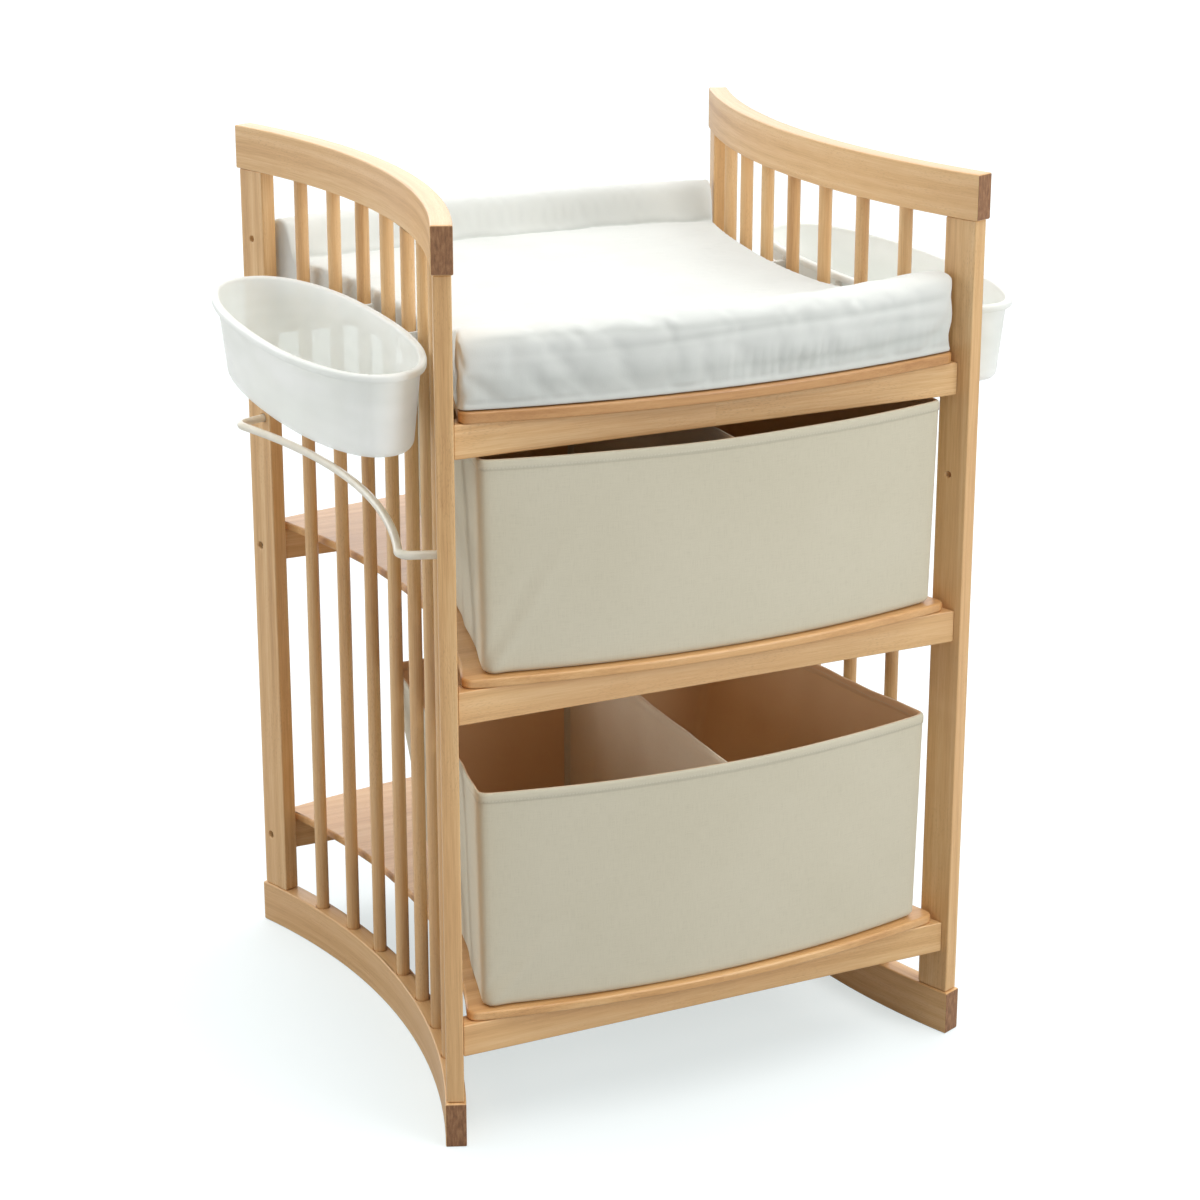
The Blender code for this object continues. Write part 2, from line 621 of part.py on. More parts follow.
def build():
    clear_scene()
    posts = {}
    for side, word in ((-1, "left"), (1, "right")):
        curved_rail(word + "_top_rail", side, HEIGHT - TOP_RAIL_H, HEIGHT, False)
        curved_rail(word + "_bottom_rail", side, 0.0, FOOT_RAIL_H, True)
        for end, place in ((-1, "front"), (1, "rear")):
            posts[(side, end)] = post("%s_%s_post" % (word, place), side, end)
        for k in range(DOWELS):
            dowel("%s_dowel_%d" % (word, k + 1), k, side)

    holes = {key: [] for key in posts}
    for level, z, face_y in (("bottom", BOTTOM_RAIL_Z, RAIL_FACE_Y), ("mid", MID_RAIL_Z, RAIL_FACE_Y),
                             ("deck", DECK_RAIL_Z, DECK_RAIL_FACE_Y)):
        for end, place in ((-1, "front"), (1, "rear")):
            rail = cross_rail("%s_%s_rail" % (level, place), z, face_y, end)
            y = face_y - CROSS_RAIL_T / 2.0
            zc = z + CROSS_RAIL_H / 2.0
            rail_cuts = []
            for side, word in ((-1, "left"), (1, "right")):
                label = "bolt_%s_%s_%s" % (level, word, place)
                bolt(label, side, end, y, zc)
                wide, thin = bolt_cutters(label + "_cut", side, end, y, zc)
                holes[(side, end)] += [wide, thin]
                rail_cuts.append(thin)
            cut(rail, rail_cuts)
    for end in (-1, 1):
        holes[(-1, end)].append(bar_cutters("bar_cut_%d" % end, -1, end))
    holes[(1, -1)].append(spare_hole("spare_cut_right", 1, -1, 0.6530, True))
    for side in (-1, 1):
        holes[(side, 1)].append(spare_hole("spare_cut_rear_%d" % side, side, 1, 0.8520, False))
    for key, obj in posts.items():
        cut(obj, holes[key])

    board("bottom_shelf", BOTTOM_BOARD_Z, BOARD_T)
    board("mid_shelf", MID_BOARD_Z, BOARD_T)
    board("deck_board", DECK_BOARD_Z, DECK_T)
    fabric_box("lower", LOWER_BOX_X, BOTTOM_BOARD_Z + BOARD_T + 0.0005, LOWER_BOX_H)
    fabric_box("upper", UPPER_BOX_X, MID_BOARD_Z + BOARD_T + 0.0005, UPPER_BOX_H)
    changing_pad()
    for side, word in ((-1, "left"), (1, "right")):
        hanging_bin(word + "_bin", side)
        bin_clip(word + "_bin_clip_front", side, -1)
        bin_clip(word + "_bin_clip_rear", side, 1)
    towel_bar()


build()
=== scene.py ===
"""Looks of the changing table: wood, fabric boxes, pad, bins, bar, floor, light and camera,
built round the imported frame. Metres, +Z up, front faces -Y."""
import math

import bpy
import bmesh
import numpy as np
from mathutils import Matrix, Vector


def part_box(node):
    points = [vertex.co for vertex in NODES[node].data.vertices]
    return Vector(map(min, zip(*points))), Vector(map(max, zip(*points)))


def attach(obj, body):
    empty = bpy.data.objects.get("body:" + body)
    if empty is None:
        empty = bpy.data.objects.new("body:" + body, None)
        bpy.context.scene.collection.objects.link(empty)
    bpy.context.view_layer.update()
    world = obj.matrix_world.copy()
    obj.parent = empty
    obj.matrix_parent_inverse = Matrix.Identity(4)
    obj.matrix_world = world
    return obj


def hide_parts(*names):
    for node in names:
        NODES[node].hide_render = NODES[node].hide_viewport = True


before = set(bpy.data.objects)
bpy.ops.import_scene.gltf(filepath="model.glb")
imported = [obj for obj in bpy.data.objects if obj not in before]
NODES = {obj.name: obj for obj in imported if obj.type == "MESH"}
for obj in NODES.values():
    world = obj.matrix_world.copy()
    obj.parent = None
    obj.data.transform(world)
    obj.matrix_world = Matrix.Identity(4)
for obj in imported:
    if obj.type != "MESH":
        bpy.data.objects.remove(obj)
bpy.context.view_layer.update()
scene = bpy.context.scene

# ---------------------------------------------------------------- dimensions repeated from the CAD
HEIGHT, WIDTH, DEPTH, GABLE_BOW = 0.980, 0.622, 0.595, 0.057
RAIL_THICK, TOP_RAIL_H, FOOT_RAIL_H = 0.022, 0.049, 0.050
ARC_R = (DEPTH * DEPTH / 4.0 + GABLE_BOW * GABLE_BOW) / (2.0 * GABLE_BOW)
ARC_X = WIDTH / 2.0 - GABLE_BOW + ARC_R
ARC_END = math.asin(DEPTH / 2.0 / ARC_R)
POST_OUT_R = ARC_R + 0.0020

BOX_FRONT_Y, BOX_BOW, BOX_REAR_Y = 0.2880, 0.0310, 0.1000
BOX_TOP_FRONT_HALF, BOX_TOP_REAR_HALF = 0.2635, 0.2120
BOX_FOOT_FRONT_HALF, BOX_FOOT_REAR_HALF = 0.2605, 0.1700
BOX_SIDE_SAG = 0.0035
UPPER_BOX_X, LOWER_BOX_X = 0.0035, -0.0020
DIVIDER_X = 0.0120

BIN_X, BIN_Y, BIN_HALF_L, BIN_HALF_W = 0.3380, -0.0360, 0.2260, 0.0720
BIN_RIM_Z, BIN_H, BIN_WALL, BIN_TAPER, BIN_FLANGE, BIN_LIP = 0.8300, 0.0880, 0.0026, 0.0090, 0.0058, 0.0075

BAR_R, BAR_Z, BAR_STANDOFF, BAR_LEG_DEG = 0.0045, 0.6430, 0.0360, 19.6


def polar(radius, angle, side):
    return (side * (ARC_X - radius * math.cos(angle)), radius * math.sin(angle))


def arc_x(y, radius):
    return ARC_X - math.sqrt(radius * radius - y * y)


def srgb(r, g, b):
    """Linear colour of an 8-bit display colour."""
    out = []
    for v in (r, g, b):
        v /= 255.0
        out.append(v / 12.92 if v <= 0.04045 else ((v + 0.055) / 1.055) ** 2.4)
    return (*out, 1.0)


# ---------------------------------------------------------------- material kit
class Kit:
    """A short way to write node trees."""

    def __init__(self, name):
        self.mat = bpy.data.materials.new(name)
        self.mat.use_nodes = True
        self.t = self.mat.node_tree
        self.t.nodes.clear()
        self.out = self.t.nodes.new("ShaderNodeOutputMaterial")
        self.bsdf = self.t.nodes.new("ShaderNodeBsdfPrincipled")
        self.t.links.new(self.bsdf.outputs["BSDF"], self.out.inputs["Surface"])
        self.coord = self.t.nodes.new("ShaderNodeTexCoord").outputs["Object"]
        self.geo = self.t.nodes.new("ShaderNodeNewGeometry")

    def put(self, socket, value):
        if isinstance(value, bpy.types.NodeSocket):
            self.t.links.new(value, socket)
        elif value is not None:
            socket.default_value = value

    def set(self, **kw):
        for k, v in kw.items():
            self.put(self.bsdf.inputs[k.replace("_", " ")], v)

    def math(self, op, a, b=None, c=None, clamp=False):
        n = self.t.nodes.new("ShaderNodeMath")
        n.operation = op
        n.use_clamp = clamp
        for s, v in zip(n.inputs, (a, b, c)):
            self.put(s, v)
        return n.outputs[0]

    def split(self, vec):
        n = self.t.nodes.new("ShaderNodeSeparateXYZ")
        self.put(n.inputs[0], vec)
        return n.outputs

    def join(self, x, y, z):
        n = self.t.nodes.new("ShaderNodeCombineXYZ")
        for s, v in zip(n.inputs, (x, y, z)):
            self.put(s, v)
        return n.outputs[0]

    def mapping(self, vec, scale=(1, 1, 1), loc=(0, 0, 0), rot=(0, 0, 0)):
        n = self.t.nodes.new("ShaderNodeMapping")
        self.put(n.inputs["Vector"], vec)
        n.inputs["Scale"].default_value = scale
        n.inputs["Location"].default_value = loc
        n.inputs["Rotation"].default_value = rot
        return n.outputs[0]

    def noise(self, vec, scale, detail=3.0, rough=0.5, distortion=0.0):
        n = self.t.nodes.new("ShaderNodeTexNoise")
        self.put(n.inputs["Vector"], vec)
        n.inputs["Scale"].default_value = scale
        n.inputs["Detail"].default_value = detail
        n.inputs["Roughness"].default_value = rough
        n.inputs["Distortion"].default_value = distortion
        return n.outputs["Fac"]

    def voronoi(self, vec, scale, feature="F1", out="Distance"):
        n = self.t.nodes.new("ShaderNodeTexVoronoi")
        n.feature = feature
        self.put(n.inputs["Vector"], vec)
        n.inputs["Scale"].default_value = scale
        return n.outputs[out]

    def ramp(self, fac, stops, interp="LINEAR"):
        n = self.t.nodes.new("ShaderNodeValToRGB")
        n.color_ramp.interpolation = interp
        while len(n.color_ramp.elements) > 1:
            n.color_ramp.elements.remove(n.color_ramp.elements[-1])
        for i, (pos, col) in enumerate(stops):
            if i == 0:
                e = n.color_ramp.elements[0]
                e.position = pos
            else:
                e = n.color_ramp.elements.new(pos)
            e.color = col if len(col) == 4 else (*col, 1.0)
        self.put(n.inputs[0], fac)
        return n.outputs[0]

    def span(self, v, lo, hi, a=0.0, b=1.0, smooth=True):
        n = self.t.nodes.new("ShaderNodeMapRange")
        n.interpolation_type = "SMOOTHSTEP" if smooth else "LINEAR"
        self.put(n.inputs["Value"], v)
        for k, val in (("From Min", lo), ("From Max", hi), ("To Min", a), ("To Max", b)):
            n.inputs[k].default_value = val
        return n.outputs[0]

    def mix(self, fac, a, b, mode="MIX"):
        n = self.t.nodes.new("ShaderNodeMix")
        n.data_type = "RGBA"
        n.blend_type = mode
        n.clamp_factor = True
        self.put(n.inputs[0], fac)
        self.put(n.inputs[6], a)
        self.put(n.inputs[7], b)
        return n.outputs[2]

    def bump(self, height, distance, strength=1.0, normal=None):
        n = self.t.nodes.new("ShaderNodeBump")
        n.inputs["Distance"].default_value = distance
        n.inputs["Strength"].default_value = strength
        self.put(n.inputs["Height"], height)
        if normal is not None:
            self.put(n.inputs["Normal"], normal)
        return n.outputs[0]

    def attribute(self, name):
        n = self.t.nodes.new("ShaderNodeAttribute")
        n.attribute_name = name
        return n.outputs["Fac"]


def grey(v):
    return (v, v, v, 1.0)


# ---------------------------------------------------------------- wood
BEECH_DARK = srgb(198, 150, 95)
BEECH_MID = srgb(221, 177, 120)
BEECH_LIGHT = srgb(234, 197, 144)


def wood(name, along, seed=0.0, tint=(1.0, 1.0, 1.0), arc=0, ends=True, contrast=1.0, gloss=0.40):
    """Lacquered beech. along is the grain's axis: X, Y, Z, or ARC for a rail bent round a gable's centre."""
    k = Kit(name)
    x, y, z = k.split(k.coord)
    if along == "ARC":
        # straight grain bent with the rail: run = arc length, across = radius and height
        ax = k.math("SUBTRACT", ARC_X, k.math("ABSOLUTE", x))
        run = k.math("MULTIPLY", k.math("ARCTAN2", y, ax), ARC_R)
        rad = k.math("SQRT", k.math("ADD", k.math("MULTIPLY", ax, ax), k.math("MULTIPLY", y, y)))
        u, v, w = run, rad, z
    elif along == "X":
        u, v, w = x, y, z
    elif along == "Y":
        u, v, w = y, x, z
    else:
        u, v, w = z, x, y
    side_shift = k.math("MULTIPLY", k.math("SIGN", x), 0.37)
    p = k.join(k.math("ADD", u, seed * 1.7), k.math("ADD", v, k.math("ADD", side_shift, seed)), k.math("ADD", w, seed * 0.6))
    # broad growth bands, wavering slowly along the piece
    waver = k.noise(k.mapping(p, scale=(1.6, 5.0, 5.0)), 1.0, 2.0, 0.5)
    bands_p = k.join(k.math("MULTIPLY", waver, 0.030), v, w)
    bands = k.noise(k.mapping(k.join(k.math("MULTIPLY", u, 0.012), k.math("ADD", v, k.math("MULTIPLY", waver, 0.020)),
                                     k.math("ADD", w, k.math("MULTIPLY", waver, 0.016))), scale=(60, 95, 95), loc=(seed, seed * 2, 0)),
                    1.0, 2.5, 0.55)
    # fine pores and fibres: long thin streaks
    fibre = k.noise(k.mapping(p, scale=(26, 900, 900)), 1.0, 3.0, 0.6)
    # beech ray flecks: short dark dashes along the grain
    cells = k.voronoi(k.mapping(p, scale=(150, 1050, 1050)), 1.0)
    fleck = k.span(cells, 0.16, 0.34, 1.0, 0.0)
    patch = k.noise(k.mapping(p, scale=(9, 30, 30)), 1.0, 2.0, 0.5)
    fleck = k.math("MULTIPLY", fleck, k.span(patch, 0.42, 0.62))
    tone = k.math("ADD", k.math("MULTIPLY", bands, 0.62), k.math("MULTIPLY", fibre, 0.38))
    lo, hi = 0.5 - 0.16 / contrast, 0.5 + 0.15 / contrast
    col = k.ramp(tone, [(max(0.0, lo), BEECH_DARK), (0.5, BEECH_MID), (min(1.0, hi), BEECH_LIGHT)])
    col = k.mix(k.math("MULTIPLY", fleck, 0.34), col, srgb(154, 104, 64))
    # slow colour drift over a whole piece
    drift = k.noise(k.mapping(p, scale=(2.2, 7, 7)), 1.0, 1.0, 0.5)
    col = k.mix(k.span(drift, 0.35, 0.65, 0.0, 0.30), col, srgb(231, 185, 132))
    if tint != (1.0, 1.0, 1.0):
        col = k.mix(1.0, col, (*tint, 1.0), "MULTIPLY")
    rough = k.math("ADD", gloss, k.math("MULTIPLY", fibre, 0.14))
    height = k.math("ADD", k.math("MULTIPLY", fibre, 0.6), k.math("MULTIPLY", fleck, -0.9))
    if ends:
        # sawn ends: darker, redder, with rings and open pores instead of streaks
        if along == "ARC":
            n = k.t.nodes.new("ShaderNodeTexCoord").outputs["Normal"]
            nx, ny, nz = k.split(n)
            end = k.span(k.math("ABSOLUTE", ny), 0.72, 0.86)
        else:
            n = k.t.nodes.new("ShaderNodeTexCoord").outputs["Normal"]
            nx, ny, nz = k.split(n)
            pick = {"X": nx, "Y": ny, "Z": nz}[along]
            end = k.span(k.math("ABSOLUTE", pick), 0.80, 0.92)
        rings = k.noise(k.mapping(k.join(v, k.math("MULTIPLY", w, 0.22), 0.0), scale=(420, 420, 1)), 1.0, 3.0, 0.6)
        pores = k.span(k.voronoi(k.mapping(p, scale=(40, 1400, 1400)), 1.0), 0.14, 0.34, 1.0, 0.0)
        endcol = k.ramp(rings, [(0.34, srgb(126, 86, 52)), (0.52, srgb(150, 105, 67)), (0.68, srgb(170, 124, 83))])
        endcol = k.mix(k.math("MULTIPLY", pores, 0.45), endcol, srgb(88, 50, 30))
        col = k.mix(end, col, endcol)
        rough = k.math("ADD", rough, k.math("MULTIPLY", end, 0.12))
    k.set(Base_Color=col, Roughness=rough, Normal=k.bump(height, 0.00007, 0.55))
    k.set(Specular_IOR_Level=0.45, Coat_Weight=0.60, Coat_Roughness=0.26, Coat_IOR=1.45)
    return k.mat


def smooth_group(name, angle):
    """Geometry nodes: shade smooth, with edges over an angle left sharp."""
    g = bpy.data.node_groups.new(name, "GeometryNodeTree")
    g.interface.new_socket("Geometry", in_out="INPUT", socket_type="NodeSocketGeometry")
    g.interface.new_socket("Geometry", in_out="OUTPUT", socket_type="NodeSocketGeometry")
    gi = g.nodes.new("NodeGroupInput")
    go = g.nodes.new("NodeGroupOutput")
    drop = g.nodes.new("GeometryNodeRemoveAttribute")
    drop.inputs["Name"].default_value = "custom_normal"
    face = g.nodes.new("GeometryNodeSetShadeSmooth")
    face.domain = "FACE"
    edge = g.nodes.new("GeometryNodeSetShadeSmooth")
    edge.domain = "EDGE"
    ang = g.nodes.new("GeometryNodeInputMeshEdgeAngle")
    cmp = g.nodes.new("FunctionNodeCompare")
    cmp.data_type = "FLOAT"
    cmp.operation = "LESS_EQUAL"
    cmp.inputs[1].default_value = angle
    g.links.new(ang.outputs["Unsigned Angle"], cmp.inputs[0])
    g.links.new(gi.outputs[0], drop.inputs["Geometry"])
    g.links.new(drop.outputs["Geometry"], face.inputs["Geometry"])
    g.links.new(face.outputs["Geometry"], edge.inputs["Geometry"])
    g.links.new(cmp.outputs["Result"], edge.inputs["Shade Smooth"])
    g.links.new(edge.outputs["Geometry"], go.inputs[0])
    return g


SMOOTH = smooth_group("smooth_by_angle", math.radians(38))


def finish_cad(node, mat, bevel=0.0012, segments=3, angle=35):
    """Welds, bevels and smooths a CAD node by modifiers, and gives it its material."""
    obj = NODES[node]
    obj.data.materials.clear()
    obj.data.materials.append(mat)
    weld = obj.modifiers.new("weld", "WELD")
    weld.merge_threshold = 0.00001
    if bevel:
        b = obj.modifiers.new("edge", "BEVEL")
        b.width = bevel
        b.segments = segments
        b.limit_method = "ANGLE"
        b.angle_limit = math.radians(angle)
        b.use_clamp_overlap = False
        b.miter_outer = "MITER_ARC"
    sm = obj.modifiers.new("smooth", "NODES")
    sm.node_group = SMOOTH
    wn = obj.modifiers.new("normals", "WEIGHTED_NORMAL")
    wn.keep_sharp = True
    wn.weight = 80
    return obj


def add_mesh(name, verts, faces, mat, smooth=True):
    mesh = bpy.data.meshes.new(name)
    mesh.from_pydata([tuple(v) for v in verts], [], [tuple(f) for f in faces])
    mesh.update()
    bm = bmesh.new()
    bm.from_mesh(mesh)
    bmesh.ops.recalc_face_normals(bm, faces=bm.faces)
    bm.to_mesh(mesh)
    bm.free()
    obj = bpy.data.objects.new(name, mesh)
    scene.collection.objects.link(obj)
    mesh.materials.append(mat)
    if smooth:
        mesh.shade_smooth()
    return obj


# every stick gets its own board, so that no two show the same grain
for side_name in ("left", "right"):
    for i, part in enumerate(("top_rail", "bottom_rail")):
        finish_cad(f"{side_name}_{part}", wood(f"beech_{side_name}_{part}", "ARC", seed=1.3 + i * 2.1 + (side_name == "right") * 0.7), 0.0018)
    for i, part in enumerate(("front_post", "rear_post")):
        finish_cad(f"{side_name}_{part}", wood(f"beech_{side_name}_{part}", "Z", seed=5.1 + i * 1.9 + (side_name == "right") * 0.8, ends=False), 0.0016)
    for k_ in range(1, 8):
        finish_cad(f"{side_name}_dowel_{k_}", wood(f"beech_{side_name}_dowel_{k_}", "Z", seed=9.0 + k_ * 0.63 + (side_name == "right") * 5.3,
                                                   tint=(1.0 - 0.02 * (k_ % 3), 1.0 - 0.025 * (k_ % 3), 1.0 - 0.03 * (k_ % 3)), ends=False), 0.0)
for i, level in enumerate(("deck", "mid", "bottom")):
    for j, end_name in enumerate(("front", "rear")):
        finish_cad(f"{level}_{end_name}_rail", wood(f"beech_{level}_{end_name}_rail", "X", seed=20.0 + i * 1.3 + j * 0.57, ends=False), 0.0016)
for i, node in enumerate(("deck_board", "mid_shelf", "bottom_shelf")):
    # the deck board is tinted far darker: painted shade from the pad lying over it; the shelves get a slightly darker,
    # redder tone of their own
    deck_shade_shelf_tone = (0.77, 0.65, 0.54) if node == "deck_board" else (0.95, 0.88, 0.81)
    finish_cad(node, wood(f"beech_{node}", "X", seed=30.0 + i * 1.1, tint=deck_shade_shelf_tone, ends=False, contrast=0.85, gloss=0.36), 0.0026, 4)


# ---------------------------------------------------------------- small hardware
def steel():
    k = Kit("blackened_steel")
    wear = k.noise(k.coord, 420, 4, 0.6)
    scuff = k.noise(k.mapping(k.coord, scale=(1, 1, 6)), 900, 2, 0.5)
    col = k.ramp(wear, [(0.35, grey(0.006)), (0.6, grey(0.014)), (0.74, grey(0.045))])
    k.set(Base_Color=col, Metallic=0.35, Roughness=k.span(scuff, 0.3, 0.7, 0.50, 0.68), Normal=k.bump(wear, 0.00004, 0.6))
    return k.mat


def clip_plastic():
    k = Kit("clip_white")
    n = k.noise(k.coord, 260, 3, 0.5)
    speck = k.noise(k.coord, 1800, 2, 0.5)
    col = k.ramp(n, [(0.3, srgb(226, 226, 220)), (0.7, srgb(238, 238, 233))])
    k.set(Base_Color=col, Roughness=k.span(n, 0.3, 0.7, 0.28, 0.42), Normal=k.bump(speck, 0.00003, 0.5))
    return k.mat


STEEL, CLIP = steel(), clip_plastic()
for n_ in NODES:
    if n_.startswith("bolt_"):
        finish_cad(n_, STEEL, 0.0003, 2, 40)
    if "_clip_" in n_:
        finish_cad(n_, CLIP, 0.0006, 2, 40)


# ---------------------------------------------------------------- cloth materials
def canvas(name, face_a, face_b, hem_z=None, inside=None, weave=0.00085):
    """Plain-weave canvas over board, coarser threads at random, slightly soiled."""
    k = Kit(name)
    x, y, z = k.split(k.coord)
    # run round the box: near enough x on the front and y on the sides, chosen by the face's normal
    nrm = k.t.nodes.new("ShaderNodeTexCoord").outputs["Normal"]
    nx, ny, nz = k.split(nrm)
    side = k.span(k.math("ABSOLUTE", nx), 0.60, 0.80)
    flat = k.span(k.math("ABSOLUTE", nz), 0.60, 0.80)
    run = k.math("ADD", k.math("MULTIPLY", x, k.math("SUBTRACT", 1.0, side)), k.math("MULTIPLY", y, side))
    rise = k.math("ADD", k.math("MULTIPLY", z, k.math("SUBTRACT", 1.0, flat)), k.math("MULTIPLY", y, flat))
    f = 2.0 * math.pi / weave
    warp_wob = k.noise(k.mapping(k.coord, scale=(1, 1, 1)), 60, 2, 0.5)
    a = k.math("SINE", k.math("ADD", k.math("MULTIPLY", run, f), k.math("MULTIPLY", warp_wob, 2.2)))
    b = k.math("SINE", k.math("ADD", k.math("MULTIPLY", rise, f), k.math("MULTIPLY", warp_wob, 2.6)))
    weave_h = k.math("MULTIPLY", a, b)
    # thick and thin threads
    slub_h = k.noise(k.mapping(k.join(run, rise, 0.0), scale=(60, 1500, 1)), 1.0, 2, 0.6)
    slub_v = k.noise(k.mapping(k.join(run, rise, 0.0), scale=(1500, 60, 1)), 1.0, 2, 0.6)
    slub = k.math("ADD", slub_h, slub_v)
    cloud = k.noise(k.coord, 7, 3, 0.55)
    col = k.mix(k.span(cloud, 0.2, 0.8), face_a, face_b)
    col = k.mix(k.span(slub, 0.86, 1.22, 0.0, 0.10), col, srgb(236, 230, 210))
    col = k.mix(k.span(slub, 0.96, 0.72, 0.0, 0.08), col, srgb(120, 108, 82))
    # painted shade in the low points of the weave
    col = k.mix(k.span(weave_h, -0.9, -0.2, 0.10, 0.0), col, srgb(110, 98, 74))
    # the inner walls take the inside colour: the lining's own beige, warmed by painted bounce light from the wood
    if inside is not None:
        col = k.mix(k.attribute("inner"), col, inside)
    if hem_z is not None:
        # a stitched line under the folded top edge
        d = k.math("ABSOLUTE", k.math("SUBTRACT", z, hem_z))
        line = k.span(d, 0.00045, 0.0010, 1.0, 0.0)
        dash = k.span(k.math("SINE", k.math("MULTIPLY", run, 2 * math.pi / 0.0036)), -0.55, -0.25)
        stitch = k.math("MULTIPLY", line, dash)
        col = k.mix(k.math("MULTIPLY", stitch, 0.35), col, srgb(232, 227, 210))
        height = k.math("ADD", k.math("MULTIPLY", weave_h, 0.45), k.math("MULTIPLY", slub, 0.9))
        height = k.math("ADD", height, k.math("MULTIPLY", stitch, 1.6))
        height = k.math("SUBTRACT", height, k.math("MULTIPLY", k.math("SUBTRACT", line, stitch), 1.0))
    else:
        height = k.math("ADD", k.math("MULTIPLY", weave_h, 0.45), k.math("MULTIPLY", slub, 0.9))
    k.set(Base_Color=col, Roughness=k.span(slub, 0.7, 1.3, 0.80, 0.94), Normal=k.bump(height, 0.00012, 0.55))
    k.set(Sheen_Weight=0.12, Sheen_Roughness=0.55, Specular_IOR_Level=0.25)
    return k.mat


def cotton(name):
    """Fine white jersey cotton, with a soft nap."""
    k = Kit(name)
    rib = k.noise(k.mapping(k.coord, scale=(1500, 420, 420)), 1.0, 2, 0.5)
    nap = k.noise(k.coord, 1500, 3, 0.6)
    cloud = k.noise(k.coord, 11, 3, 0.5)
    loops = k.voronoi(k.coord, 900)
    col = k.mix(k.span(cloud, 0.3, 0.7), srgb(219, 222, 218), srgb(225, 228, 224))
    col = k.mix(k.span(nap, 0.56, 0.72, 0.0, 0.12), col, srgb(200, 208, 208))
    # painted shade: darker in the creases and folds and low on the pad's front
    crease_shade = k.attribute("crease_shade")
    col = k.mix(k.math("MULTIPLY", crease_shade, 0.62), col, srgb(184, 189, 183))
    height = k.math("ADD", k.math("MULTIPLY", rib, 0.5), k.math("ADD", k.math("MULTIPLY", nap, 0.6), k.math("MULTIPLY", loops, 0.5)))
    k.set(Base_Color=col, Roughness=k.span(nap, 0.3, 0.7, 0.84, 0.96), Normal=k.bump(height, 0.00022, 0.6))
    k.set(Sheen_Weight=0.25, Sheen_Roughness=0.5, Specular_IOR_Level=0.2)
    return k.mat


# ---------------------------------------------------------------- fabric boxes
def smoothstep(t):
    t = np.clip(t, 0, 1)
    return t * t * (3 - 2 * t)


def box_corner_plan(t, inset):
    """Corner points and mid-side controls of a box's plan at height fraction t."""
    f = BOX_FOOT_FRONT_HALF + (BOX_TOP_FRONT_HALF - BOX_FOOT_FRONT_HALF) * t - inset
    r = BOX_FOOT_REAR_HALF + (BOX_TOP_REAR_HALF - BOX_FOOT_REAR_HALF) * t - inset
    y0 = BOX_FRONT_Y - 0.003 * (1 - t) - inset
    y1 = BOX_REAR_Y - inset
    return f, r, y0, y1


N_FRONT, N_SIDE, N_REAR = 96, 72, 64


def box_loop(t, inset):
    """Plan points round a box, with which wall and how far along it each lies. Front runs -x to +x."""
    f, r, y0, y1 = box_corner_plan(t, inset)
    pts, wall, frac = [], [], []
    for i in range(N_FRONT):
        u = i / N_FRONT
        x = -f + 2 * f * u
        pts.append((x, -y0 - BOX_BOW * (1 - (-1 + 2 * u) ** 2)))
        wall.append(0)
        frac.append(u)
    for i in range(N_SIDE):
        u = i / N_SIDE
        pts.append((f + (r - f) * u - BOX_SIDE_SAG * 4 * u * (1 - u), -y0 + (y1 + y0) * u))
        wall.append(1)
        frac.append(u)
    for i in range(N_REAR):
        u = i / N_REAR
        pts.append((r - 2 * r * u, y1))
        wall.append(2)
        frac.append(u)
    for i in range(N_SIDE):
        u = i / N_SIDE
        v = 1 - u
        pts.append((-(f + (r - f) * v - BOX_SIDE_SAG * 4 * v * (1 - v)), -y0 + (y1 + y0) * v))
        wall.append(3)
        frac.append(u)
    return np.array(pts), np.array(wall), np.array(frac)


def round_loop(pts, radius):
    """Rounds the sharp corners of a dense closed loop by averaging along it, by arc length."""
    n = len(pts)
    out = pts.copy()
    for _ in range(int(radius)):
        out = 0.25 * np.roll(out, 1, 0) + 0.5 * out + 0.25 * np.roll(out, -1, 0)
    # only near the corners, so the straight runs keep their place
    corners = [0, N_FRONT, N_FRONT + N_SIDE, N_FRONT + N_SIDE + N_REAR]
    idx = np.arange(n)
    w = np.zeros(n)
    for c in corners:
        d = np.minimum(np.abs(idx - c), n - np.abs(idx - c))
        w = np.maximum(w, np.clip(1 - d / 6.0, 0, 1))
    return pts * (1 - w[:, None]) + out * w[:, None]


def loop_normals(pts):
    d = np.roll(pts, -1, 0) - np.roll(pts, 1, 0)
    n = np.stack([d[:, 1], -d[:, 0]], 1)
    return n / np.maximum(np.linalg.norm(n, axis=1), 1e-9)[:, None]


def wobble(seed, *terms):
    """A smooth repeatable function of several coordinates: a sum of sines with fixed phases."""
    rng = np.random.default_rng(seed)
    total = 0.0
    for amp, coords, freqs in terms:
        for _ in range(4):
            phase = rng.uniform(0, 2 * math.pi)
            arg = phase
            for c, f in zip(coords, freqs):
                arg = arg + c * f * rng.uniform(0.6, 1.5) * rng.choice([-1, 1])
            total = total + amp * np.sin(arg) / 4.0
    return total


